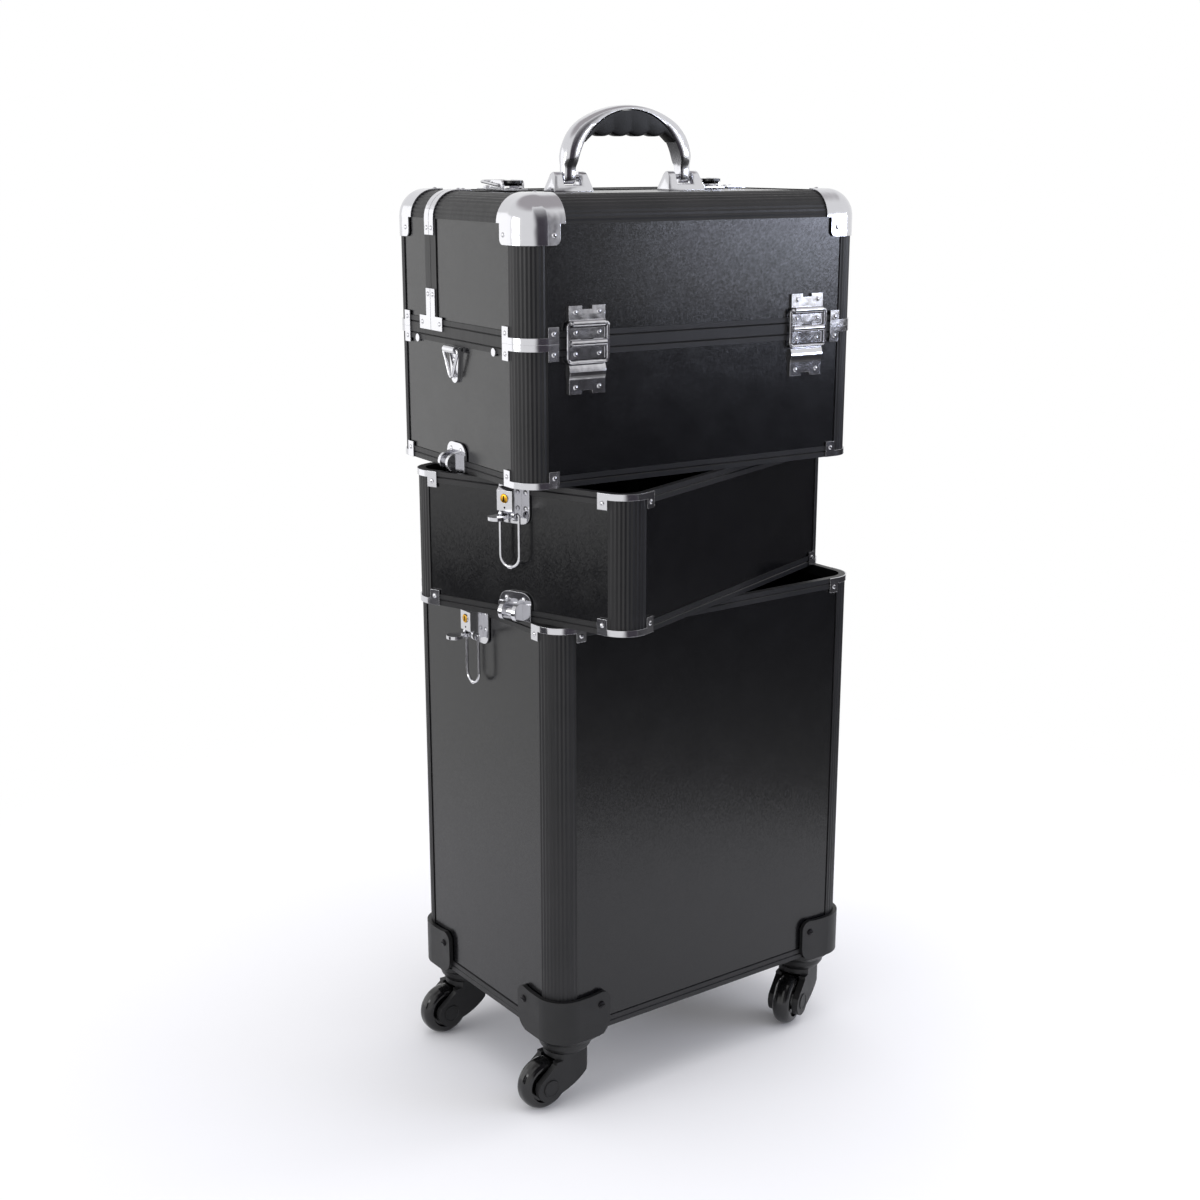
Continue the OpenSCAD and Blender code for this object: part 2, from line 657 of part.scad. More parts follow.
// Lid whose hinge is at +Y: depth from its outside face to its seam edge
seam_w = 10;
lid_low = box_h + rail_h;
lid_side = top_h - corner_r;
module lid_panels(depth) color(panel_black) {
    seam = hd - depth;
    translate([0, hd, 0]) wall_panel(bar_x, lid_low, lid_side);
    ends() block([side_in, seam + seam_w, lid_low], [hw - panel_recess, hd - corner_r, lid_side]);
    block([-bar_x / 2, seam + seam_w, top_h - wall], [bar_x / 2, hd - corner_r, top_h - panel_recess]);
}
module lid_frame(depth) color(post_black) {
    seam = hd - depth;
    run = depth - corner_r;
    ends() {
        at_corner(box_h) quarter_post(lid_h - corner_r);
        translate([hw - corner_r, hd - corner_r, lid_side]) rotate([90, 0, 0]) quarter_post(run);
        translate([hw, seam + seam_w + (run - seam_w) / 2, box_h]) rotate([0, 0, -90])
            rail(run - seam_w - 2 * joint);
        block([side_in, seam, box_h], [hw, seam + seam_w, lid_side - joint]);
    }
    translate([0, hd - corner_r, lid_side]) along_x(bar_x) quarter_outline();
    translate([0, hd, box_h]) rail(bar_x - 2 * joint);
    block([joint - bar_x / 2, seam, top_h - wall], [bar_x / 2 - joint, seam + seam_w, top_h]);
}
// Ball corner with three skirts and a riveted flap on each flat face, bands at the split,
// and the brackets at the seam's ends
flap_r = 5;
module flap(w, h) linear_extrude(sheet) polygon(concat([[0, 0], [-w, 0]],
    arc(flap_r, 180, 270, 6, [flap_r - w, flap_r - h]), [[0, -h]]));
module ball_corner() {
    intersection() {
        difference() {
            sphere(trim_r + sheet);
            sphere(inner_r);
        }
        cube(2 * corner_r);
    }
    for (k = [0:2]) rotate(a = 120 * k, v = [1, 1, 1]) rotate_extrude(angle = 90)
        translate([trim_r, -skirt]) square([sheet, skirt]);
    translate([0, 0, trim_r]) flap(flap_w, flap_w);
    for (side = [0, 1]) mirror([side, -side, 0]) translate([0, trim_r + sheet, 0]) rotate([90, 0, 0])
        flap(flap_w, skirt);
}
module lid_corners(depth) color(chrome) {
    seam = hd - depth;
    ends() {
        translate([0, 0, box_h]) corner_bracket();
        at_corner(lid_side) ball_corner();
        translate([hw + skin_gap, seam, box_h]) rotate([90, 0, 90]) linear_extrude(sheet) polygon([[0, 0],
            [seam_foot, 0], [seam_foot, seam_foot_h], [seam_leg_w, seam_foot_h], [seam_leg_w, seam_leg_h],
            [0, seam_leg_h]]);
        translate([hw - corner_r, seam + seam_leg_w, lid_side]) rotate([90, 0, 0]) linear_extrude(seam_leg_w)
            polygon(concat([[trim_r, -tab_h], [trim_r + sheet, -tab_h]], arc(trim_r + sheet, 0, 90, 10),
            [[-tab_h, trim_r + sheet], [-tab_h, trim_r]], arc(trim_r, 90, 0, 10)));
    }
}
module lid_hinge_plates() hinges() {
    upper_leaf();
    catch_plate();
}
// Pins inside a lid's ends that carry the trays
module tray_pins(link, shares) color(chrome) ends() for (k = shares)
    translate([0, hinge_pivot.x + k * link.x, hinge_pivot.y + k * link.y])
        rod_x(link_pin_r, tray_half - tray_t - 1, side_in);

// Trays and arms, in the side plane of a lid whose hinge is at +Y
module inner_tray(y, z, link, k, cells) color(tray_grey) difference() {
    block([-tray_half, y[0], z[0]], [tray_half, y[1], z[1]]);
    inside = 2 * (tray_half - tray_t);
    cell = (inside - (cells - 1) * tray_t) / cells;
    for (i = [0:cells - 1]) translate([-inside / 2 + i * (cell + tray_t), y[0] + tray_t, z[0] + tray_t])
        cube([cell, y[1] - y[0] - 2 * tray_t, z[1] - z[0]]);
    ends() {
        translate([0, hinge_pivot.x + k * link.x, hinge_pivot.y + k * link.y])
            rod_x(link_bore_r, tray_half - tray_t - 1, tray_half + 1);
        translate([0, arm_pivot.x + k * link.x, arm_pivot.y + k * link.y])
            rod_x(open_bore_r, tray_half - tray_t - 1, tray_half + 1);
    }
}
module arms(link, shares) color(chrome) ends() translate([0, arm_pivot.x, arm_pivot.y]) {
    translate([arm_x, 0, 0]) rotate([90, 0, 90]) difference() {
        linear_extrude(arm_t) rotate(atan2(link.y, link.x)) polygon(concat(arc(arm_r, 90, 270, 10),
            arc(arm_r, -90, 90, 10, [norm(link), 0])));
        translate([0, 0, -1]) cylinder(r = link_bore_r, h = arm_t + 2);
    }
    for (k = shares) translate([0, k * link.x, k * link.y])
        rod_x(link_pin_r, tray_half - tray_t, arm_x + lap);
}

// Handle on the front lid, from the lid top up
// A bracket is a sloped block with a slot for the leg, rounded over the pivot pin
module handle_bracket() color(chrome) translate([bracket_x, 0, 0]) {
    slot = lug_gap / 2;
    lug_top = pivot_z + lug_r;
    intersection() {
        along_y(3 * bracket_half) polygon([[-bracket_l / 2, -panel_recess], [bracket_l / 2, -panel_recess],
            [bracket_l / 2, 1], [slot + lug_t, lug_top], [slot, lug_top], [slot, web_h],
            [-slot, web_h], [-slot, lug_top], [-slot - lug_t, lug_top], [-bracket_l / 2, 1]]);
        along_x(2 * bracket_l) polygon(concat([[-bracket_half, -panel_recess], [bracket_half, -panel_recess]],
            arc(lug_r, 10, 170, 12, [0, pivot_z])));
    }
    translate([0, 0, pivot_z]) rod_x(handle_pin_r, -slot - lap, slot + lap);
}
// Outside of the bow: two legs, two shoulders and the flatter crown
module bow_outline() polygon(concat([[bow_r, pivot_z]], arc(shoulder_r, 0, crown_a, 16, [shoulder_x, bow_z]),
    arc(crown_r, crown_a, 180 - crown_a, 20, [0, crown_z]),
    arc(shoulder_r, 180 - crown_a, 180, 16, [-shoulder_x, bow_z]), [[-bow_r, pivot_z]]));
module bow() color(chrome) difference() {
    union() {
        difference() {
            intersection() {
                along_y(bow_w) bow_outline();
                translate([0, 0, pivot_z]) along_x(3 * bow_r) polygon([[-tongue_half, 0], [tongue_half, 0],
                    [tongue_half, tongue_h], [bow_w / 2, tongue_flare], [bow_w / 2, bow_h],
                    [-bow_w / 2, bow_h], [-bow_w / 2, tongue_flare], [-tongue_half, tongue_h]]);
            }
            translate([0, 0, opening_z]) rod_y(bow_in, -bow_w, bow_w, $fn = 120);
            block([-bow_in, -bow_w, 0], [bow_in, bow_w, opening_z]);
        }
        ends() translate([bracket_x, 0, pivot_z]) rod_x(tongue_half, 1 - lug_gap / 2, lug_gap / 2 - 1);
    }
    translate([0, 0, pivot_z]) rod_x(handle_pin_r + clear, -2 * bow_r, 2 * bow_r);
}
// Rubber grip under the top of the bow, with a wave for each finger
finger_waves = 4;
wave = 2.5;
finger_half = grip_half - 11;
grip_side = 0.75;
module grip() color(wheel_black) along_y(bow_w - 2 * grip_side) let (r = bow_in - 2 * skin_gap)
    polygon(concat(arc(r, acos(grip_half / r), 180 - acos(grip_half / r), 32, [0, opening_z]),
        [for (i = [0:8 * finger_waves]) let (t = i / (8 * finger_waves))
            [finger_half * (2 * t - 1),
            bow_h - grip_drop + wave - wave * abs(sin(180 * finger_waves * t))]]));

// Top latch on the front lid, from the lid top up, with its bail over the seam
lever_pivot = [8, 6];
bail_pivot = [-4, 4.5];
top_bail_half = top_latch_w / 2 + 0.5;
bar_z = hook_h + hook_over + top_bail_r;
bail_rise = bar_z - bail_pivot.y;
bail_reach = top_latch_back + top_bail_past - bail_pivot.x;
module top_latch_base() color(chrome) {
    block([-top_latch_w / 2, -top_base_half, 0], [top_latch_w / 2, top_base_half, plate_t]);
    ends() difference() {
        translate([top_latch_w / 2 - 1 - cheek_t / 2, 0, 0]) along_x(cheek_t) polygon(concat(
            [[cheek_y[0], plate_t - lap], [cheek_y[1], plate_t - lap]],
            arc(cheek_round, 0, 90, 6, [cheek_y[1] - cheek_round, cheek_h - cheek_round]),
            arc(cheek_round, 90, 180, 6, [cheek_y[0] + cheek_round, cheek_h - cheek_round])));
        translate([0, lever_pivot.x, lever_pivot.y]) rod_x(1.5, 0, top_latch_w);
        translate([0, bail_pivot.x, bail_pivot.y]) rod_x(top_bail_r + clear, 0, top_latch_w);
    }
}
module top_latch_lever() color(wheel_black) translate([0, lever_pivot.x, lever_pivot.y]) {
    rod_x(2.6, -top_latch_w / 2 + 1 + cheek_t + clear, top_latch_w / 2 - 1 - cheek_t - clear);
    rod_x(1.5 - clear, 1 - top_latch_w / 2 + 0.4, top_latch_w / 2 - 1 - 0.4);
    translate([0, 0, 0.5]) linear_extrude(2) polygon(concat([[-top_lever_w / 2, 0]],
        arc(5, 180, 270, 6, [5 - top_lever_w / 2, -21]), arc(5, 270, 360, 6, [top_lever_w / 2 - 5, -21]),
        [[top_lever_w / 2, 0]]));
}
module top_latch_bail() color(chrome) translate([0, bail_pivot.x, bail_pivot.y])
    rotate([atan2(bail_rise, bail_reach), 0, 0]) wire(route([[top_latch_w / 2 - 1 - cheek_t + 0.3, 0],
        [top_bail_half, 0], [top_bail_half, norm([bail_rise, bail_reach])],
        [-top_bail_half, norm([bail_rise, bail_reach])], [-top_bail_half, 0],
        [1 - top_latch_w / 2 + cheek_t - 0.3, 0]], [0, 1.5, 5, 5, 1.5, 0], false), top_bail_r);
module top_latch_at(x) at_top() translate([x, top_latch_y, top_h]) children();
module top_keepers() color(chrome) for (x = [-top_latch_x, top_latch_x])
    translate([x, seam_y + seam_gap / 2 + 2, top_h]) {
        block([-11, 0, 0], [11, 18, plate_t]);
        along_x(14) polygon([[top_bail_past - 4, lap], [top_bail_past + 2, lap],
            [top_bail_past + 2, hook_h - 1], [top_bail_past + 1, hook_h],
            [top_bail_past - 3, hook_h], [top_bail_past - 4, hook_h - 1]]);
    }

// Base trolley
module base_panels() at_base() tier_panels(base_h);
module base_corner_posts() at_base() tier_posts(base_h);
module base_rails() at_base() tier_rails(base_h);
module base_corner_brackets() at_base() high_brackets(base_h);
module corner_feet() at_base() corner_feet_all();
module base_latch_plates() at_base() latch_plates(base_h);
module base_latch_lever_left() at_base() translate([0, 0, base_h]) left_end() latch_lever();
module base_latch_lever_right() at_base() translate([0, 0, base_h]) latch_lever();
module base_latch_bail_left() at_base() translate([0, 0, base_h]) left_end() latch_bail();
module base_latch_bail_right() at_base() translate([0, 0, base_h]) latch_bail();
module caster_fork_front_left() caster_at(-1, -1, left_turn) fork();
module caster_fork_front_right() caster_at(1, -1, right_turn) fork();
module caster_fork_back_left() caster_at(-1, 1, left_turn) fork();
module caster_fork_back_right() caster_at(1, 1, rear_turn) fork();
module caster_wheel_front_left() caster_at(-1, -1, left_turn) wheel();
module caster_wheel_front_right() caster_at(1, -1, right_turn) wheel();
module caster_wheel_back_left() caster_at(-1, 1, left_turn) wheel();
module caster_wheel_back_right() caster_at(1, 1, rear_turn) wheel();
// Tray
module tray_panels() at_tray() tier_panels(tray_h);
module tray_corner_posts() at_tray() tier_posts(tray_h);
module tray_rails() at_tray() tier_rails(tray_h);
module tray_corner_brackets() at_tray() {
    low_brackets();
    high_brackets(tray_h);
}
module tray_latch_plates() at_tray() latch_plates(tray_h);
module tray_keepers() at_tray() keepers();
module tray_latch_lever_left() at_tray() translate([0, 0, tray_h]) left_end() latch_lever();
module tray_latch_lever_right() at_tray() translate([0, 0, tray_h]) latch_lever();
module tray_latch_bail_left() at_tray() translate([0, 0, tray_h]) left_end() latch_bail();
module tray_latch_bail_right() at_tray() translate([0, 0, tray_h]) latch_bail();
// Lower half of the top case
module box_panels() at_top() tier_panels(box_h);
module box_corner_posts() at_top() tier_posts(box_h);
module box_rails() at_top() tier_rails(box_h);
module box_corner_brackets() at_top() {
    low_brackets();
    high_brackets(box_h);
}
module box_keepers() at_top() keepers();
module box_hinge_plates() at_top() faces() hinges() {
    lower_leaf();
    hinge_pin();
    spring_plate();
}
module box_side_fittings() at_top() side_fittings();
module strap_ring_left() at_top() left_end() strap_ring();
module strap_ring_right() at_top() strap_ring();
// Front lid with the handle and top latches
module front_lid_panels() at_front() lid_panels(front_depth);
module front_lid_frame() at_front() {
    lid_frame(front_depth);
    tray_pins(front_link, [half_way, 1]);
}
module front_lid_corners() at_front() lid_corners(front_depth);
module front_lid_hinge_plates() at_front() lid_hinge_plates();
module front_hinge_loops() at_front() hinges() hinge_loop();
module handle_brackets() at_top() translate([0, 0, top_h]) ends() handle_bracket();
module handle_bow() at_top() translate([0, 0, top_h]) bow();
module handle_grip() at_top() translate([0, 0, top_h]) grip();
module top_latch_bases() for (x = [-top_latch_x, top_latch_x]) top_latch_at(x) top_latch_base();
module top_latch_lever_left() top_latch_at(-top_latch_x) top_latch_lever();
module top_latch_lever_right() top_latch_at(top_latch_x) top_latch_lever();
module top_latch_bail_left() top_latch_at(-top_latch_x) top_latch_bail();
module top_latch_bail_right() top_latch_at(top_latch_x) top_latch_bail();
// Back lid
module back_lid_panels() at_top() lid_panels(back_depth);
module back_lid_frame() at_top() {
    lid_frame(back_depth);
    tray_pins(back_link, [1]);
}
module back_lid_corners() at_top() lid_corners(back_depth);
module back_lid_fittings() at_top() {
    lid_hinge_plates();
    top_keepers();
}
module back_hinge_loops() at_top() hinges() hinge_loop();
// Trays inside, and the arms that carry them
module front_upper_tray() at_front() inner_tray(front_tray_y, upper_tray_z, front_link, 1, 3);
module front_lower_tray() at_front() inner_tray(front_tray_y, lower_tray_z, front_link, half_way, 2);
module back_tray() at_top() inner_tray(back_tray_y, back_tray_z, back_link, 1, 4);
module front_arms() at_front() arms(front_link, [half_way, 1]);
module back_arms() at_top() arms(back_link, [1]);

base_panels();
base_corner_posts();
base_rails();
base_corner_brackets();
corner_feet();
base_latch_plates();
caster_fork_front_left();
caster_fork_front_right();
caster_fork_back_left();
caster_fork_back_right();
caster_wheel_front_left();
caster_wheel_front_right();
caster_wheel_back_left();
caster_wheel_back_right();
base_latch_lever_left();
base_latch_lever_right();
base_latch_bail_left();
base_latch_bail_right();
tray_panels();
tray_corner_posts();
tray_rails();
tray_corner_brackets();
tray_latch_plates();
tray_keepers();
tray_latch_lever_left();
tray_latch_lever_right();
tray_latch_bail_left();
tray_latch_bail_right();
box_panels();
box_corner_posts();
box_rails();
box_corner_brackets();
box_keepers();
box_hinge_plates();
box_side_fittings();
strap_ring_left();
strap_ring_right();
front_lid_panels();
front_lid_frame();
front_lid_corners();
front_lid_hinge_plates();
front_hinge_loops();
handle_brackets();
handle_bow();
handle_grip();
top_latch_bases();
top_latch_lever_left();
top_latch_lever_right();
top_latch_bail_left();
top_latch_bail_right();
back_lid_panels();
back_lid_frame();
back_lid_corners();
back_lid_fittings();
back_hinge_loops();
front_upper_tray();
front_lower_tray();
back_tray();
front_arms();
back_arms();
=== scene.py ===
# %% [markdown]
# # A rolling makeup case, dressed in Blender
# The case is three tiers: a trolley on casters, a loose tray and a top case with two lids. Its pieces
# come in as a fixed frame at their real size, in metres, front towards -Y. This lesson gives every
# piece its finish, replaces the shapes that want finer modelling, and adds rivets, screws and locks.

# %% Load the frame
import json
import math

import bmesh
import bpy
from mathutils import Matrix, Vector


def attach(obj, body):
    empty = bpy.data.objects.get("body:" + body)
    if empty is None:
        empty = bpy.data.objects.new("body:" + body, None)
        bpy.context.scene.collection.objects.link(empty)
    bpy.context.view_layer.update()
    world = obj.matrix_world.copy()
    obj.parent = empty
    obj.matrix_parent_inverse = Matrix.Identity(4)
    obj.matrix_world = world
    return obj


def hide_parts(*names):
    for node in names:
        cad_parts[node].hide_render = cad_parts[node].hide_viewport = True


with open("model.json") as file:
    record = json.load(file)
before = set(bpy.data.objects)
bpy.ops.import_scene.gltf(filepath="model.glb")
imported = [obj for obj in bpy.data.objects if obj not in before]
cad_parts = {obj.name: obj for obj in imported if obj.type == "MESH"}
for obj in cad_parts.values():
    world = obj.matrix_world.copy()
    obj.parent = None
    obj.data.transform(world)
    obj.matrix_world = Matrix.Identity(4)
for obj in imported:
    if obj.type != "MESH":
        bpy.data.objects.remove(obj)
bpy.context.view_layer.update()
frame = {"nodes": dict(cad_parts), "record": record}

# %% [markdown]
# ## The camera
# The picture was taken from the front left, a little above the top case, with a short telephoto lens.
# A camera looks along its own -Z, so a track quaternion turns the wanted direction into a rotation.

# %% Camera
CAMERA_PLACE = Vector((-0.965, -1.277, 0.855))
CAMERA_AIM = Vector((0.567, 0.784, -0.2516))
LENS_MM = 51.74

camera = bpy.data.objects.new("camera", bpy.data.cameras.new("camera"))
camera.data.lens = LENS_MM
camera.location = CAMERA_PLACE
camera.rotation_euler = CAMERA_AIM.to_track_quat("-Z", "Y").to_euler()
bpy.context.scene.collection.objects.link(camera)
bpy.context.scene.camera = camera
print("camera at", tuple(camera.location))

# %% [markdown]
# ## Nodes and colours
# Every material here is a small graph. One helper adds a node, sets it and links it; another turns a
# hex colour, as a painter would note it, into the linear numbers that the shaders count in.

# %% Node and colour helpers
def add_node(tree, kind, inputs=None, **settings):
    """Adds a node, sets its properties, and sets or links each input that is named."""
    node = tree.nodes.new(kind)
    for name, value in settings.items():
        setattr(node, name, value)
    for socket, value in (inputs or {}).items():
        if isinstance(value, bpy.types.NodeSocket):
            tree.links.new(value, node.inputs[socket])
        else:
            node.inputs[socket].default_value = value
    return node


def linear(hex_colour):
    """The linear RGBA of an sRGB hex colour."""
    parts = [int(hex_colour[i:i + 2], 16) / 255 for i in (1, 3, 5)]
    return [c / 12.92 if c <= 0.04045 else ((c + 0.055) / 1.055) ** 2.4 for c in parts] + [1.0]


print("chrome grey in linear light:", [round(c, 3) for c in linear("#d0d0d4")])

# %% [markdown]
# ## Studio
# The case stands on white paper in a white studio. The camera sees plain white beyond the paper, and so
# do the rays that chrome and gloss send on, so metal mirrors the same background. All other rays get a
# softer room, which keeps the paper's shadow.

# %% World
ROOM_LIGHT = 0.92
WHITE = (1, 1, 1, 1)


def background_rays(tree):
    """One for the rays that see the plain background: the camera's, and those off metal and gloss."""
    rays = add_node(tree, "ShaderNodeLightPath").outputs
    passed_on = add_node(tree, "ShaderNodeMath",
                         {0: rays["Is Glossy Ray"], 1: rays["Is Transmission Ray"]}, operation="MAXIMUM")
    return add_node(tree, "ShaderNodeMath", {0: rays["Is Camera Ray"], 1: passed_on.outputs[0]},
                    operation="MAXIMUM").outputs[0]


world = bpy.data.worlds.new("studio")
bpy.context.scene.world = world
world.use_nodes = True
sky = world.node_tree
sky.nodes.clear()
soft = add_node(sky, "ShaderNodeBackground", {"Color": linear("#f2f3f6"), "Strength": ROOM_LIGHT})
white = add_node(sky, "ShaderNodeBackground", {"Color": WHITE, "Strength": 1.0})
seen = add_node(sky, "ShaderNodeMixShader",
                {0: background_rays(sky), 1: soft.outputs[0], 2: white.outputs[0]})
add_node(sky, "ShaderNodeOutputWorld", {"Surface": seen.outputs[0]})
bpy.context.scene.view_settings.view_transform = "Standard"
print("world: white background, room light of", ROOM_LIGHT)

# %% [markdown]
# Lamps do the rest: a softbox behind on the left, which the left faces mirror as a broad sheen, one on
# the left for the posts and ball corners, and a low bluish window on the front right, level with the
# lid, so that only the lid's front catches its sheen. One overhead and one on the right are there for
# the paper: lamps that glossy surfaces don't see leave no spots on them.

# %% Softboxes
def softbox(name, place, aim, size, power, colour="#ffffff", mirrored=True):
    """A rectangular area lamp at place, facing aim, which glossy surfaces may mirror."""
    lamp = bpy.data.objects.new(name, bpy.data.lights.new(name, "AREA"))
    lamp.data.shape = "RECTANGLE"
    lamp.data.size, lamp.data.size_y = size
    lamp.data.energy = power
    lamp.data.color = linear(colour)[:3]
    lamp.visible_glossy = mirrored
    lamp.location = place
    lamp.rotation_euler = (Vector(aim) - Vector(place)).to_track_quat("-Z", "Y").to_euler()
    bpy.context.scene.collection.objects.link(lamp)


softbox("back_softbox", (-1.55, 2.0, 0.7), (-0.1, 0.0, 0.45), (1.8, 1.7), 5)
softbox("left_softbox", (-2.2, 0.35, 0.95), (0.0, 0.0, 0.7), (1.2, 0.95), 11)
softbox("window", (2.2, -2.1, 0.84), (0.1, -0.1, 0.78), (1.6, 0.42), 24, "#dde4fb")
softbox("overhead_softbox", (0.1, -0.1, 2.5), (0.0, 0.0, 0.0), (2.2, 2.2), 18, mirrored=False)
softbox("right_fill", (1.8, -0.3, 1.7), (0.4, -0.1, 0.0), (1.0, 1.0), 9, mirrored=False)

# %% [markdown]
# The paper is a wide disc. Near the case it is ordinary matt paper that takes shadows; further out it
# fades to the plain white of the background, so no edge shows.

# %% Paper floor
FLOOR_R = 9.0
FADE_FROM, FADE_TO = 0.5, 1.05


def stand(name, shape, finish):
    """Makes a studio object of a shape, which isn't part of the case."""
    thing = bpy.data.objects.new(name, bpy.data.meshes.new(name))
    shape.to_mesh(thing.data)
    shape.free()
    thing.data.materials.append(finish)
    bpy.context.scene.collection.objects.link(thing)
    return thing


def bare_material(name):
    """A material with an empty graph; returns it and its tree."""
    material = bpy.data.materials.new(name)
    material.use_nodes = True
    material.node_tree.nodes.clear()
    return material, material.node_tree


def fade_to_white(tree, own, share):
    """Ends a graph with its own shader, which gives way to plain white by a share."""
    glow = add_node(tree, "ShaderNodeEmission", {"Color": WHITE, "Strength": 1.0})
    shown = add_node(tree, "ShaderNodeMixShader", {0: share, 1: own.outputs[0], 2: glow.outputs[0]})
    add_node(tree, "ShaderNodeOutputMaterial", {"Surface": shown.outputs[0]})


paper, tree = bare_material("white_paper")
at = add_node(tree, "ShaderNodeTexCoord").outputs["Object"]
away = add_node(tree, "ShaderNodeVectorMath", {0: at}, operation="LENGTH").outputs["Value"]
fade = add_node(tree, "ShaderNodeMapRange", {"Value": away, "From Min": FADE_FROM, "From Max": FADE_TO},
                interpolation_type="SMOOTHSTEP").outputs["Result"]
share = add_node(tree, "ShaderNodeMath", {0: fade, 1: background_rays(tree)}, operation="MULTIPLY")
matt = add_node(tree, "ShaderNodeBsdfDiffuse", {"Color": linear("#f3f2f4")})
fade_to_white(tree, matt, share.outputs[0])

disc = bmesh.new()
bmesh.ops.create_circle(disc, cap_ends=True, segments=96, radius=FLOOR_R)
stand("paper_floor", disc, paper)
print("paper floor of", 2 * FLOOR_R, "m")

# %% [markdown]
# A black case in a white room mirrors white everywhere and looks grey. Product photographers stand dark
# boards, called flags, just out of view, where the faces that should stay black mirror them. The camera
# and the paper don't see these boards, so they leave no shadow. The felt one stands where the turned
# tray's left end mirrors it.

# %% Flags
FLAG_AWAY, FLAG_FOOT, FLAG_STEPS = 0.88, 0.005, 16


def only_mirrored(thing):
    """Hides a studio object from all but the rays off metal and gloss."""
    thing.visible_camera = thing.visible_diffuse = thing.visible_shadow = False


def flag(name, start, stop, height, finish, away=FLAG_AWAY):
    """A curved board so far from the case's middle, from one angle to another, in degrees from +X."""
    board = bmesh.new()
    turn = math.radians(start)
    foot = board.verts.new((away * math.cos(turn), away * math.sin(turn), FLAG_FOOT))
    top = board.verts.new((*foot.co.xy, height))
    edge = board.edges.new((foot, top))
    bmesh.ops.spin(board, geom=[foot, top, edge], cent=(0, 0, 0), axis=(0, 0, 1),
                   angle=math.radians(stop - start), steps=FLAG_STEPS)
    only_mirrored(stand(name, board, finish))
    print(name, "from", start, "to", stop, "degrees")


felt = bpy.data.materials.new("grey_felt")
felt.use_nodes = True
shader = felt.node_tree.nodes["Principled BSDF"]
shader.inputs["Base Color"].default_value = linear("#3c3b3d")
shader.inputs["Roughness"].default_value = 1.0
flag("left_flag", start=152, stop=186, height=0.36, finish=felt)

# %% [markdown]
# Round chrome and broad fronts draw the whole room, and a board with hard edges would show on them as a
# sharp patch. So the other boards are graded cards, which fade to white: a front one that gets paler
# towards the paper and ends level with the box's rim, a tall one for the dark room behind the camera,
# which fades towards its ends and its top, and a round grey one overhead, which fades towards its rim.

# %% Graded cards
FRONT_FROM, FRONT_TO, FRONT_TOP, FRONT_AWAY = -80.0, 5.0, 0.66, 0.74
FOOT_FADE, FOOT_WHITE = 0.36, -0.5
CARD_MIDDLE, CARD_HALF, CARD_EDGE = 263.0, 33.0, 18.0
CARD_TOP, CARD_FADE, CARD_AWAY = 2.4, 0.9, 0.92
CEILING_Z, CEILING_R, CEILING_EDGE = 2.6, 2.2, 1.0


def graded_card(name, colour, fades):
    """A card of one colour that is white where its turn, height or way from the middle ends a fade."""
    card, tree = bare_material(name)
    at = add_node(tree, "ShaderNodeTexCoord").outputs["Object"]
    along = add_node(tree, "ShaderNodeSeparateXYZ", {"Vector": at}).outputs
    turn = add_node(tree, "ShaderNodeMath", {0: along["Y"], 1: along["X"]}, operation="ARCTAN2")
    off = add_node(tree, "ShaderNodeMath", {0: turn.outputs[0], 1: math.radians(CARD_MIDDLE - 360)},
                   operation="SUBTRACT")
    aside = add_node(tree, "ShaderNodeMath", {0: off.outputs[0]}, operation="ABSOLUTE")
    degrees = add_node(tree, "ShaderNodeMath", {0: aside.outputs[0]}, operation="DEGREES")
    flat = add_node(tree, "ShaderNodeVectorMath", {0: at, 1: (1, 1, 0)}, operation="MULTIPLY")
    away = add_node(tree, "ShaderNodeVectorMath", {0: flat.outputs["Vector"]}, operation="LENGTH")
    measures = {"turn": degrees.outputs[0], "height": along["Z"], "way": away.outputs["Value"]}
    share = 0.0
    for measure, (start, stop) in fades.items():
        fade = add_node(tree, "ShaderNodeMapRange",
                        {"Value": measures[measure], "From Min": start, "From Max": stop},
                        interpolation_type="SMOOTHSTEP")
        share = add_node(tree, "ShaderNodeMath", {0: share, 1: fade.outputs["Result"]},
                         operation="MAXIMUM").outputs[0]
    own = add_node(tree, "ShaderNodeEmission", {"Color": linear(colour), "Strength": 1.0})
    fade_to_white(tree, own, share)
    return card


front = graded_card("front_graded_card", "#39383a", {"height": (FOOT_FADE, FOOT_WHITE)})
flag("front_flag", FRONT_FROM, FRONT_TO, FRONT_TOP, front, FRONT_AWAY)
dark = graded_card("dark_graded_card", "#47434a",
                   {"turn": (CARD_HALF - CARD_EDGE, CARD_HALF), "height": (CARD_FADE, CARD_TOP)})
flag("camera_card", CARD_MIDDLE - CARD_HALF, CARD_MIDDLE + CARD_HALF, CARD_TOP, dark, CARD_AWAY)
pale = graded_card("pale_graded_card", "#bdb9bb", {"way": (CEILING_R - CEILING_EDGE, CEILING_R)})
disc = bmesh.new()
bmesh.ops.create_circle(disc, cap_ends=True, segments=48, radius=CEILING_R,
                        matrix=Matrix.Translation((0, 0, CEILING_Z)))
only_mirrored(stand("ceiling_card", disc, pale))
print("ceiling card at", CEILING_Z, "m")

# %% [markdown]
# ## Finishes
# No real surface is the same all over: the roll, the mould, the plating bath and handling leave clouds
# of shine and colour. One helper starts a finish from its plain values. Another lets a soft noise, sized
# in real millimetres, move one of these values a little.

# %% Finish helpers
MM = 0.001
# Noise lies mostly between these values.
CLOUD_LOW, CLOUD_HIGH = 0.3, 0.7
RAMP_LOW, RAMP_HIGH = 0.35, 0.65


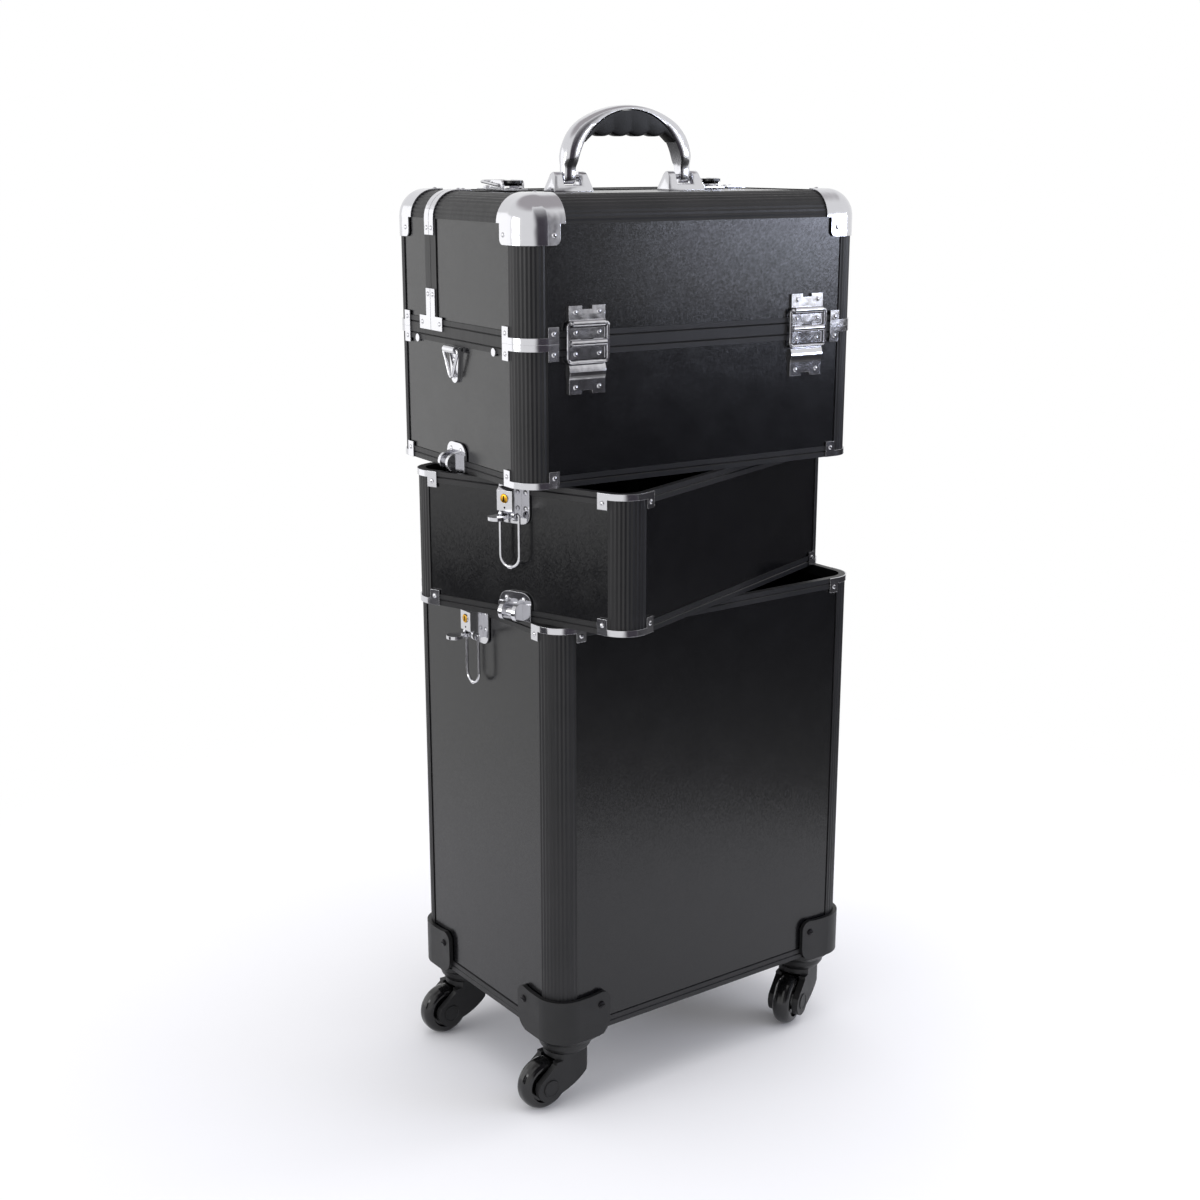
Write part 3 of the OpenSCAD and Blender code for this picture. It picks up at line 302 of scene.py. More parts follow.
def new_finish(name, colour, roughness, metallic=0.0, specular=0.5):
    """A Principled material; returns it, its tree, its shader and its Object coordinates."""
    material = bpy.data.materials.new(name)
    material.use_nodes = True
    tree = material.node_tree
    shader = tree.nodes["Principled BSDF"]
    shader.inputs["Base Color"].default_value = linear(colour)
    shader.inputs["Roughness"].default_value = roughness
    shader.inputs["Metallic"].default_value = metallic
    shader.inputs["Specular IOR Level"].default_value = specular
    return material, tree, shader, add_node(tree, "ShaderNodeTexCoord").outputs["Object"]


def mottle(tree, at, size_mm, low, high, shader, socket, detail=3.0):
    """Lets clouds of one size move a shader input between two values, numbers or hex colours."""
    cloud = add_node(tree, "ShaderNodeTexNoise",
                     {"Vector": at, "Scale": 1 / (size_mm * MM), "Detail": detail}).outputs["Fac"]
    if isinstance(low, str):
        ramp = add_node(tree, "ShaderNodeValToRGB", {"Fac": cloud})
        stops = ((RAMP_LOW, low), (RAMP_HIGH, high))
        for element, (position, colour) in zip(ramp.color_ramp.elements, stops):
            element.position, element.color = position, linear(colour)
        tree.links.new(ramp.outputs["Color"], shader.inputs[socket])
        return
    span = add_node(tree, "ShaderNodeMapRange",
                    {"Value": cloud, "From Min": CLOUD_LOW, "From Max": CLOUD_HIGH,
                     "To Min": low, "To Max": high})
    tree.links.new(span.outputs["Result"], shader.inputs[socket])


print("noise counts from", CLOUD_LOW, "to", CLOUD_HIGH, "for numbers, from", RAMP_LOW, "to", RAMP_HIGH,
      "for colours")

# %% [markdown]
# The walls are thin boards faced with black ABS sheet, rolled with a fine pebble grain. The grain
# breaks the highlight into specks: a Voronoi pattern gives each pebble its own random colour, and that
# colour, read as a direction, leans the pebble's normal a little. Where the light is even, nothing
# shows. Real grain is about 0.7 mm; it is drawn at 1.3 mm, because finer would not show in the picture.

# %% Pebbled ABS
PEBBLE_MM, LEAN, SHEET_CLOUD_MM = 1.3, 0.035, 25
panel_abs, tree, shader, at = new_finish("pebbled_abs", "#080809", 0.22)
mottle(tree, at, PEBBLE_MM, "#040405", "#0f0f12", shader, "Base Color")
mottle(tree, at, SHEET_CLOUD_MM, 0.2, 0.25, shader, "Roughness")
pebbles = add_node(tree, "ShaderNodeTexVoronoi",
                   {"Vector": at, "Scale": 1 / (PEBBLE_MM * MM)}, feature="F1")
lean = add_node(tree, "ShaderNodeVectorMath",
                {0: pebbles.outputs["Color"], 1: (0.5, 0.5, 0.5)}, operation="SUBTRACT")
out = add_node(tree, "ShaderNodeNewGeometry").outputs["Normal"]
leant = add_node(tree, "ShaderNodeVectorMath",
                 {0: lean.outputs["Vector"], 1: (LEAN, LEAN, LEAN), 2: out}, operation="MULTIPLY_ADD")
facing = add_node(tree, "ShaderNodeVectorMath", {0: leant.outputs["Vector"]}, operation="NORMALIZE")
tree.links.new(facing.outputs["Vector"], shader.inputs["Normal"])
print("pebbled ABS, pebbles of", PEBBLE_MM, "mm")

# %% [markdown]
# The posts and rails are extruded aluminium, anodised black: a hard satin surface, with faint die
# lines along the extrusion and a broad soft highlight. A picture of scratches would do, but it would
# have to be unwrapped onto every post. Noise that is stretched along Z needs no unwrapping.

# %% Black anodised aluminium
DIE_LINE_MM, DIE_STRETCH, ANODISE_CLOUD_MM = 3.0, 0.02, 40
anodised, tree, shader, at = new_finish("black_anodised_aluminium", "#161618", 0.46, specular=0.42)
mottle(tree, at, ANODISE_CLOUD_MM, "#131315", "#1a191b", shader, "Base Color")
stretched = add_node(tree, "ShaderNodeMapping", {"Vector": at, "Scale": (1.0, 1.0, DIE_STRETCH)})
mottle(tree, stretched.outputs["Vector"], DIE_LINE_MM, 0.42, 0.5, shader, "Roughness", detail=2.0)
print("black anodised aluminium, die lines of", DIE_LINE_MM, "mm")

# %% [markdown]
# Brackets, hinges, latches and the handle are pressed, bent or cast metal under bright chrome plate. The
# plate is nearly a mirror; slight waves from the press and a trace of handling keep it from looking
# drawn. No pressing has knife edges: a Bevel node rounds the shading over the last half millimetre, so
# that every edge catches a thin line of light.

# %% Chrome plate
PRESS_WAVE_MM, WAVE_DEPTH_MM, HANDLING_MM = 9.0, 0.6, 12
EDGE_ROUND_MM, EDGE_SAMPLES = 0.5, 4
chrome, tree, shader, at = new_finish("chrome_plate", "#d0d0d4", 0.14, metallic=1.0)
mottle(tree, at, HANDLING_MM, 0.1, 0.18, shader, "Roughness")
waves = add_node(tree, "ShaderNodeTexNoise",
                 {"Vector": at, "Scale": 1 / (PRESS_WAVE_MM * MM), "Detail": 1.0})
edges = add_node(tree, "ShaderNodeBevel", {"Radius": EDGE_ROUND_MM * MM}, samples=EDGE_SAMPLES)
relief = add_node(tree, "ShaderNodeBump",
                  {"Height": waves.outputs["Fac"], "Strength": 0.3, "Distance": WAVE_DEPTH_MM * MM,
                   "Normal": edges.outputs["Normal"]})
tree.links.new(relief.outputs["Normal"], shader.inputs["Normal"])
print("chrome plate, waves of", PRESS_WAVE_MM, "mm")

# %% [markdown]
# The rest: brass lock barrels, blackened screws, moulded nylon feet and forks with a spark-eroded
# surface, polished polyurethane wheels, a soft rubber grip, and grey ABS for the inner trays. One
# function makes all the moulded ones, which differ only in colour, shine and grain. The grains of nylon,
# rubber and grey ABS are drawn coarser than real, so that they show.

# %% Brass, blackened steel, nylon, polyurethane, rubber and grey ABS
MOULD_CLOUD_MM, TURNED_MM = 20, 3


def moulded(name, colour, roughness, grain_mm, depth_mm, specular=0.5):
    """A moulded plastic: one colour with slight clouds, and the fine grain of its mould."""
    material, tree, shader, at = new_finish(name, colour, roughness, specular=specular)
    mottle(tree, at, MOULD_CLOUD_MM, roughness - 0.05, roughness + 0.06, shader, "Roughness")
    grain = add_node(tree, "ShaderNodeTexNoise",
                     {"Vector": at, "Scale": 1 / (grain_mm * MM), "Detail": 2.0})
    relief = add_node(tree, "ShaderNodeBump",
                      {"Height": grain.outputs["Fac"], "Strength": 0.4, "Distance": depth_mm * MM})
    tree.links.new(relief.outputs["Normal"], shader.inputs["Normal"])
    return material


nylon = moulded("moulded_nylon", "#151516", 0.46, 1.2, 0.12, specular=0.4)
polyurethane = moulded("polyurethane_tyre", "#0c0c0d", 0.16, 8.0, 0.05, specular=0.6)
rubber = moulded("grip_rubber", "#0f0f10", 0.5, 1.5, 0.12)
lever_abs = moulded("black_abs_lever", "#121214", 0.25, 6.0, 0.05)
tray_abs = moulded("grey_abs", "#47474b", 0.45, 1.5, 0.1)
brass, tree, shader, at = new_finish("polished_brass", "#c8962e", 0.22, metallic=1.0)
mottle(tree, at, TURNED_MM, 0.18, 0.32, shader, "Roughness")
blackened, tree, shader, at = new_finish("blackened_steel", "#2b2a2c", 0.4, metallic=1.0)
mottle(tree, at, TURNED_MM, 0.36, 0.48, shader, "Roughness")
# Painted shade: a near-black matt finish for the thin bars and discs that stand for the shade inside
# screw slots, keyways and pinholes.
painted_shade = moulded("painted_recess_shade", "#050505", 0.8, 1.0, 0.05, specular=0.1)
print("finishes:", ", ".join(m.name for m in bpy.data.materials))

# %% [markdown]
# ## Finishes on the frame
# Each piece of the frame belongs to a material slot in its record, so the slot decides its finish. The
# pieces could be listed by name as well, but a table of slots can't miss one. Only the thumb levers of
# the top latches differ from their slot: they are glossy black ABS.

# %% Finish every node
FINISH_OF_SLOT = {"panel": panel_abs, "frame": anodised, "chrome": chrome, "plastic": nylon,
                  "wheel": polyurethane, "rubber": rubber, "inner_tray": tray_abs}

slot_of_node = {entry["node"]: entry["material_slot"] for entry in frame["record"]["subparts"]}
for name, node in frame["nodes"].items():
    finish = FINISH_OF_SLOT[slot_of_node[name]]
    if name.startswith("top_latch_lever"):
        finish = lever_abs
    node.data.materials.clear()
    node.data.materials.append(finish)
print("finished", len(frame["nodes"]), "nodes")

# %% [markdown]
# ## Places on the tiers
# The fittings go on as a fitter would set them out: so far from a corner, so far under a rim. The loose
# tiers stand turned on each other, so each gets a matrix that carries its own millimetres into the
# world, and a spot on a face is a place with its Z pointing out of that face.

# %% Tier frames and spots
def tier_frame(turn, x, y, z):
    """Carries millimetres in a tier's own frame, turned by so many degrees, to metres in the world."""
    return (Matrix.Scale(MM, 4) @ Matrix.Translation((x, y, z))
            @ Matrix.Rotation(math.radians(turn), 4, "Z"))


def spot(place, out):
    """A place on a face, with its Z along out."""
    return Matrix.Translation(place) @ Vector(out).to_track_quat("Z", "Y").to_matrix().to_4x4()


BASE = tier_frame(0.0, 0.0, 0.0, 77.0)
TRAY = tier_frame(20.1, -14.6, -6.7, 463.0)
TOP = tier_frame(-3.63, -15.7, -4.0, 584.0)
HALF_W, HALF_D = 175.0, 118.0
BASE_H, TRAY_H, BOX_H, TOP_H = 386.0, 121.0, 119.0, 238.0
LID_ROUND = 23.0
LID_EDGE = TOP_H - LID_ROUND
SHEET_OUT, PLATE_OUT = 1.3, 1.5
BOTH = (-1, 1)


def on_ends(spots, out):
    """Spots (y, z) on the left and right ends of a tier, so far out from them."""
    return [spot((sx * (HALF_W + out), y, z), (sx, 0, 0)) for sx in BOTH for y, z in spots]


def on_face(side, spots, out):
    """Spots (x, z) and their mirrors on the front (side -1) or the back (side 1) of a tier."""
    return [spot((sx * x, side * (HALF_D + out), z), (0, side, 0)) for sx in BOTH for x, z in spots]


def on_top(spots, out):
    """Spots (x, y) and their mirrors on the lids."""
    return [spot((sx * x, y, TOP_H + out), (0, 0, 1)) for sx in BOTH for x, y in spots]


print("tiers at", [tuple(round(v, 3) for v in m.translation) for m in (BASE, TRAY, TOP)])

# %% [markdown]
# ## Turned shapes
# A rivet head, a screw and a lock barrel are all turned shapes: an outline spun about an axis. Blender's
# spin operator does that, and merging the ends where the outline meets the axis closes the shape.

# %% Turning
DOUBLE_MM = 0.001


def lathe(outline, steps):
    """A closed solid turned about Z from (radius, height) points that start and end on the axis."""
    shape = bmesh.new()
    verts = [shape.verts.new((r, 0.0, h)) for r, h in outline]
    edges = [shape.edges.new(pair) for pair in zip(verts, verts[1:])]
    bmesh.ops.spin(shape, geom=verts + edges, cent=(0, 0, 0), axis=(0, 0, 1), angle=math.tau,
                   steps=steps, use_merge=True)
    bmesh.ops.remove_doubles(shape, verts=shape.verts, dist=DOUBLE_MM)
    bmesh.ops.recalc_face_normals(shape, faces=shape.faces)
    return shape


print("turned shapes are in millimetres, merged within", DOUBLE_MM)

# %% [markdown]
# One small shape is copied to all its spots, as one object that rides on one body of the case: thirty
# rivets on a lid are then a single piece. Faces are shaded smooth, but edges beyond the crease angle
# stay sharp, so that a dome looks round and the edge of a disc stays crisp.

# %% Scattering
CREASE_ANGLE = 40.0


def finish_piece(name, shape, finish):
    """Makes an object of a shape, smooth but for edges beyond the crease angle, with one finish."""
    for face in shape.faces:
        face.smooth = True
    for edge in shape.edges:
        edge.smooth = edge.calc_face_angle(0.0) < math.radians(CREASE_ANGLE)
    piece = bpy.data.objects.new(name, bpy.data.meshes.new(name))
    shape.to_mesh(piece.data)
    shape.free()
    piece.data.materials.append(finish)
    bpy.context.scene.collection.objects.link(piece)
    return piece


def scatter(name, shape, tier, spots, finish, body):
    """One object with a copy of a shape at each spot of a tier, riding on a body."""
    one = bpy.data.meshes.new("one")
    shape.to_mesh(one)
    whole = bmesh.new()
    for place in spots:
        known = len(whole.verts)
        whole.from_mesh(one)
        whole.verts.ensure_lookup_table()
        bmesh.ops.transform(whole, matrix=tier @ place, verts=whole.verts[known:])
    bpy.data.meshes.remove(one)
    piece = finish_piece(name, whole, finish)
    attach(piece, body)
    print(name, "-", len(spots), "copies,", len(piece.data.polygons), "faces")


print("pieces are sharp beyond", CREASE_ANGLE, "degrees")

# %% [markdown]
# ## Rivets
# Every bracket, hinge and plate is held by tubular rivets with low domed heads, about 4.5 mm across.
# The spots repeat the fitter's pattern: the middle of each bracket tab, two to a hinge row, four to a
# latch plate, two to a keeper. Small functions lay them out, because every tier repeats them.

# %% Rivet spots on the walls
TAB_IN, TAB_UP = 28.0, 8.5
HINGE_IN, HINGE_HALF, HINGE_OUT = 60.0, 11.5, 1.2
LATCH_HALF, LATCH_DROPS = 12.0, (8.0, 22.0)
KEEPER_HALF, KEEPER_UP = 9.0, 19.0
RING_PLATE_ROWS = (83.0, 97.0)


def bracket_tabs(z, sides=BOTH):
    """The tab middles of the corner brackets at one height."""
    tabs = []
    for side in sides:
        tabs += on_face(side, [(HALF_W - TAB_IN, z)], SHEET_OUT)
        tabs += on_ends([(side * (HALF_D - TAB_IN), z)], SHEET_OUT)
    return tabs


def hinge_rows(side, rows):
    """Two spots in each row of a face's hinges; rows are heights over the hinge pin."""
    middle = HALF_W - HINGE_IN
    return on_face(side, [(middle + s * HINGE_HALF, BOX_H + z) for s in BOTH for z in rows], HINGE_OUT)


def latch_spots(rim):
    """Four spots on the latch plate at either end, under the tier's rim."""
    return on_ends([(s * LATCH_HALF, rim - drop) for s in BOTH for drop in LATCH_DROPS], PLATE_OUT)


keepers = on_ends([(s * KEEPER_HALF, KEEPER_UP) for s in BOTH], PLATE_OUT)
ring_plates = on_ends([(0.0, z) for z in RING_PLATE_ROWS], PLATE_OUT)
print(len(keepers), "spots on a tier's keepers,", len(ring_plates), "on the strap ring plates")

# %% [markdown]
# A lid has more: the tabs of its ball corners, the brackets beside the seam at the rim and over the
# lid's edge, and the top latches. The two lids mirror each other but for the seam, which lies behind
# the middle: the latches sit on the front lid and their keepers on the back one.

# %% Rivet spots on the lids
LID_LEAF_ROWS = (8.2, 25.0)
LEG_IN, LEG_UP, LEG_DROP, LEG_TOP_IN = 4.0, 31.0, 8.0, 31.0
LEG_FOOT_IN, LEG_FOOT_UP = 16.0, 6.0
BALL_IN, BALL_DROP = 29.0, 9.0
SEAM_FRONT, SEAM_BACK = 43.0, 43.6
TOP_LATCH_X, TOP_LATCH_Y, TOP_LATCH_HALF = 106.0, 15.5, 7.0
TOP_KEEPER_Y, TOP_KEEPER_HALF = 51.0, 7.5


def top_row(y, half):
    """Two spots, side by side, on each of the two top latches."""
    return on_top([(TOP_LATCH_X + s * half, y) for s in BOTH], PLATE_OUT)


def lid_spots(side, seam):
    """The bracket, hinge and corner spots of one side's lid, whose seam edge lies at local y = seam."""
    leg, foot = seam + side * LEG_IN, seam + side * LEG_FOOT_IN
    ball_x, ball_y = HALF_W - BALL_IN, side * (HALF_D - BALL_IN)
    ends = [(ball_y, LID_EDGE - BALL_DROP), (leg, BOX_H + LEG_UP), (foot, BOX_H + LEG_FOOT_UP),
            (leg, LID_EDGE - LEG_DROP)]
    return (bracket_tabs(BOX_H + TAB_UP, (side,)) + hinge_rows(side, LID_LEAF_ROWS)
            + on_face(side, [(ball_x, LID_EDGE - BALL_DROP)], SHEET_OUT) + on_ends(ends, SHEET_OUT)
            + on_top([(ball_x, ball_y), (HALF_W - LEG_TOP_IN, leg)], SHEET_OUT))


front_spots = lid_spots(-1, SEAM_FRONT) + top_row(TOP_LATCH_Y, TOP_LATCH_HALF)
back_spots = lid_spots(1, SEAM_BACK) + top_row(TOP_KEEPER_Y, TOP_KEEPER_HALF)
print(len(front_spots), "spots on the front lid,", len(back_spots), "on the back lid")

# %% [markdown]
# The head is a low dome on a short rim that sinks into the plate, so no gap shows under it. One object
# per body holds all of that body's rivets.

# %% Rivets
BOX_LEAF_ROWS = (-9.2, -36.5)
RIVET_OUTLINE = [(0, 1.1), (1.0, 0.98), (1.8, 0.6), (2.25, 0.0), (2.25, -0.2), (0, -0.2)]

rivet_spots = {
    "base": (BASE, bracket_tabs(BASE_H - TAB_UP) + latch_spots(BASE_H)),
    "tray": (TRAY, bracket_tabs(TAB_UP) + bracket_tabs(TRAY_H - TAB_UP) + keepers + latch_spots(TRAY_H)),
    "top_box": (TOP, bracket_tabs(TAB_UP) + bracket_tabs(BOX_H - TAB_UP) + keepers + ring_plates
                + hinge_rows(-1, BOX_LEAF_ROWS) + hinge_rows(1, BOX_LEAF_ROWS)),
    "front_lid": (TOP, front_spots),
    "back_lid": (TOP, back_spots),
}
rivet = lathe(RIVET_OUTLINE, steps=12)
for body, (tier, spots) in rivet_spots.items():
    scatter(body + "_rivets", rivet, tier, spots, chrome, body)
rivet.free()

# %% [markdown]
# ## Screws in the feet
# Each foot is held by a blackened pan-head screw in either wing. The slot is painted shade: a thin dark
# bar let into the head stands for the shade in the groove, and reads as a shadowed groove from any side.

# %% Foot screws
FOOT_OUT = 4.1
SCREW_IN, SCREW_UP = 47.0, 27.0
SCREW_OUTLINE = [(0, 1.5), (2.2, 1.4), (3.2, 0.9), (3.5, 0.0), (3.5, -0.2), (0, -0.2)]
GROOVE_SIZE, GROOVE_Z = (5.4, 0.9, 0.5), 1.3


def bar(size, z):
    """A block of a size, with its middle on the axis at a height."""
    block = bmesh.new()
    bmesh.ops.create_cube(block, size=1.0,
                          matrix=Matrix.Translation((0, 0, z)) @ Matrix.Diagonal((*size, 1)))
    return block


screw_spots = []
for side in BOTH:
    screw_spots += on_face(side, [(HALF_W - SCREW_IN, SCREW_UP)], FOOT_OUT)
screw_spots += on_ends([(side * (HALF_D - SCREW_IN), SCREW_UP) for side in BOTH], FOOT_OUT)
screw = lathe(SCREW_OUTLINE, steps=16)
scatter("foot_screws", screw, BASE, screw_spots, blackened, "base")
# Painted shade: the dark bar on each screw head stands for the shade in its slot.
groove = bar(GROOVE_SIZE, GROOVE_Z)
scatter("foot_screw_slot_shade", groove, BASE, screw_spots, painted_shade, "base")
for shape in (screw, groove):
    shape.free()

# %% [markdown]
# ## Keyed locks
# The latch housings carry small brass cam locks. Each face is a turned disc with a keyway, and a
# pinhole under it. Holes could be cut, but such small ones only show as the shade inside them, so thin
# dark shapes on the surface, painted shade, do as well and leave the housing whole.

# %% Lock faces
LOCK_OUT, LOCK_DROP = 15.6, 12.0
LOCK_OUTLINE = [(0, 0.5), (3.3, 0.5), (3.8, 0.3), (4.0, 0.0), (4.0, -0.1), (0, -0.1)]
KEYWAY_SIZE, KEYWAY_Z = (1.3, 4.6, 0.3), 0.45
PINHOLE_OUT, PINHOLE_DROP = 15.0, 20.0
PINHOLE_OUTLINE = [(0, 0.1), (0.9, 0.1), (0.9, -0.1), (0, -0.1)]
LATCHED_TIERS = (("base", BASE, BASE_H), ("tray", TRAY, TRAY_H))

lock_face = lathe(LOCK_OUTLINE, steps=24)
keyway = bar(KEYWAY_SIZE, KEYWAY_Z)
pinhole = lathe(PINHOLE_OUTLINE, steps=12)
for body, tier, rim in LATCHED_TIERS:
    locks = on_ends([(0.0, rim - LOCK_DROP)], LOCK_OUT)
    scatter(body + "_lock_faces", lock_face, tier, locks, brass, body)
    # Painted shade: a dark bar in each keyway and a dark disc for each pinhole stand for the shade
    # inside them.
    scatter(body + "_keyway_shade", keyway, tier, locks, painted_shade, body)
    pins = on_ends([(0.0, rim - PINHOLE_DROP)], PINHOLE_OUT)
    scatter(body + "_pinhole_shade", pinhole, tier, pins, painted_shade, body)
for shape in (lock_face, keyway, pinhole):
    shape.free()

# %% [markdown]
# ## Beads on the bails
# A small sleeve is crimped on the middle of each wire bail, where it bears on the keeper's roller. It is
# turned like the rivets, with its axis laid along the wire, and rides on the bail, so it swings with it.

# %% Bail beads
BAIL_OUT, BAIL_DROP = 8.0, 72.7
BEAD_OUTLINE = [(0, 2.6), (1.5, 2.6), (2.0, 1.9), (2.0, -1.9), (1.5, -2.6), (0, -2.6)]

bead = lathe(BEAD_OUTLINE, steps=12)
for tier_name, tier, rim in LATCHED_TIERS:
    for side_name, sx in (("left", -1), ("right", 1)):
        along = spot((sx * (HALF_W + BAIL_OUT), 0.0, rim - BAIL_DROP), (0, 1, 0))
        scatter(f"{tier_name}_bail_bead_{side_name}", bead, tier, [along], chrome,
                f"{tier_name}_latch_bail_{side_name}")
bead.free()

# %% [markdown]
# ## Axle plugs
# A push-in plug covers each end of a caster's axle and shows as a faint ring on the fork. The ring is
# part of the turned outline, so nothing has to be cut. Each caster stands turned its own way, so each
# gets a frame of its own, as the tiers do.

# %% Axle plugs
CASTER_X, CASTER_Y = 145.0, 88.0
TRAIL, AXLE_Z, FORK_HALF = 26.0, 24.5, 16.0
CASTER_TURNS = {"front_left": 180.0, "front_right": 206.0, "back_left": 180.0, "back_right": 165.0}
PLUG_OUTLINE = [(0, 0.5), (7.0, 0.5), (7.4, 0.9), (8.0, 0.9), (8.4, 0.0), (8.4, -0.1), (0, -0.1)]

plug = lathe(PLUG_OUTLINE, steps=24)
axle_ends = [spot((TRAIL, side * FORK_HALF, AXLE_Z), (0, side, 0)) for side in BOTH]
for corner, turn in CASTER_TURNS.items():
    x = -CASTER_X if corner.endswith("left") else CASTER_X
    y = -CASTER_Y if corner.startswith("front") else CASTER_Y
    scatter(f"axle_plugs_{corner}", plug, tier_frame(turn, x, y, 0.0), axle_ends, nylon,
            f"caster_{corner}")
plug.free()

# %% [markdown]
# ## Softened edges
# The brackets that carry the handle are castings, and a casting has no knife edges: every corner is a
# little round and catches a bright line. A copy of the frame's mesh is merged, its flat facets are
# dissolved to clean faces, and the edges that stay sharp are bevelled. The softened copy then stands in
# for the piece it came from.

# %% Soften the handle brackets
MERGE_MM, FLAT_ANGLE, SHARP_ANGLE = 0.01, 0.1, 50.0
BEVEL_MM, BEVEL_STEPS = 0.6, 2

body_of_node = {node: body for body, nodes in frame["record"]["behaviour"]["bodies"].items()
                for node in nodes}


def soften(name, finish):
    """Replaces a node by a copy with its sharp edges bevelled."""
    shape = bmesh.new()
    node = frame["nodes"][name]
    shape.from_mesh(node.data)
    shape.transform(node.matrix_world)
    bmesh.ops.remove_doubles(shape, verts=shape.verts, dist=MERGE_MM * MM)
    bmesh.ops.dissolve_limit(shape, angle_limit=math.radians(FLAT_ANGLE), verts=shape.verts,
                             edges=shape.edges)
    edges = [edge for edge in shape.edges if len(edge.link_faces) == 2
             and edge.calc_face_angle(0.0) > math.radians(SHARP_ANGLE)]
    bmesh.ops.bevel(shape, geom=edges, offset=BEVEL_MM * MM, offset_type="OFFSET",
                    segments=BEVEL_STEPS, profile=0.5, affect="EDGES", clamp_overlap=True, material=-1)
    bmesh.ops.recalc_face_normals(shape, faces=shape.faces)
    piece = finish_piece(name + "_soft", shape, finish)
    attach(piece, body_of_node[name])
    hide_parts(name)
    print(piece.name, "-", len(edges), "edges,", len(piece.data.polygons), "faces")


soften("handle_brackets", chrome)

# %% [markdown]
# ## The carry handle
# The handle is a cast bow with a rubber grip in its arch. Both change their section along the way, and
# that is a loft: rings of points are set at stations, neighbouring rings are bridged, and the two end
# rings are filled. The finished loft replaces the plainer piece of the frame.

# %% Lofting
def loft(name, rings, finish, body, node):
    """A solid bridged through rings of points, in millimetres over the lid, that replaces a node."""
    shape = bmesh.new()
    loops = []
    for ring in rings:
        verts = [shape.verts.new(point) for point in ring]
        loops.append([shape.edges.new(pair) for pair in zip(verts, verts[1:] + verts[:1])])
    for near, far in zip(loops, loops[1:]):
        bmesh.ops.bridge_loops(shape, edges=near + far)
    for end in (loops[0], loops[-1]):
        bmesh.ops.contextual_create(shape, geom=end)
    bmesh.ops.recalc_face_normals(shape, faces=shape.faces)
    shape.transform(TOP @ Matrix.Translation((0, 0, TOP_H)))
    piece = finish_piece(name, shape, finish)
    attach(piece, body)
    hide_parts(node)
    print(name, "-", len(rings), "rings,", len(piece.data.polygons), "faces")


print("lofts stand on the lid,", TOP_H, "mm over the foot of the top case")

# %% [markdown]
# The bow is a strap, crowned outside, thick at the legs and thin over the grip. One rounded section goes
# along the arch, as wide and as thick as the strap is there. The arch has three arcs: a shoulder each
# side and a flatter crown.

# %% Handle bow
BOW_HALF, BOW_RISE, BOW_SPRING, SHOULDER_R = 67.5, 73.0, 25.0, 41.0
OPENING_R, OPENING_Z = 56.0, 13.0
STRAP_HALF, TONGUE_HALF, PIVOT_Z = 9.0, 5.8, 11.0
TONGUE_TURNS, NECK_Z = (80, 60, 40, 20, 0), (16.0, 20.5)
FLARE, FLARE_END = ((23.0, 6.6), (BOW_SPRING, 7.7)), 8.7
SHOULDER_STEPS, CROWN_STEPS = 12, 8
STRAP_SECTION = [(-0.9, 0.0), (-1.0, 0.1), (-1.0, 0.4), (-0.94, 0.66), (-0.78, 0.86), (-0.45, 0.97),
                 (0.0, 1.0), (0.45, 0.97), (0.78, 0.86), (0.94, 0.66), (1.0, 0.4), (1.0, 0.1),
                 (0.9, 0.0)]


def strap_ring(x, z, half):
    """The strap's section under an outside point, reaching in to the round opening."""
    outside = Vector((x, 0.0, z))
    inside = Vector((math.copysign(OPENING_R, x), 0.0, z))
    if z > OPENING_Z:
        middle = Vector((0.0, 0.0, OPENING_Z))
        inside = middle + (outside - middle).normalized() * OPENING_R
    return [inside.lerp(outside, through) + Vector((0.0, across * half, 0.0))
            for across, through in STRAP_SECTION]


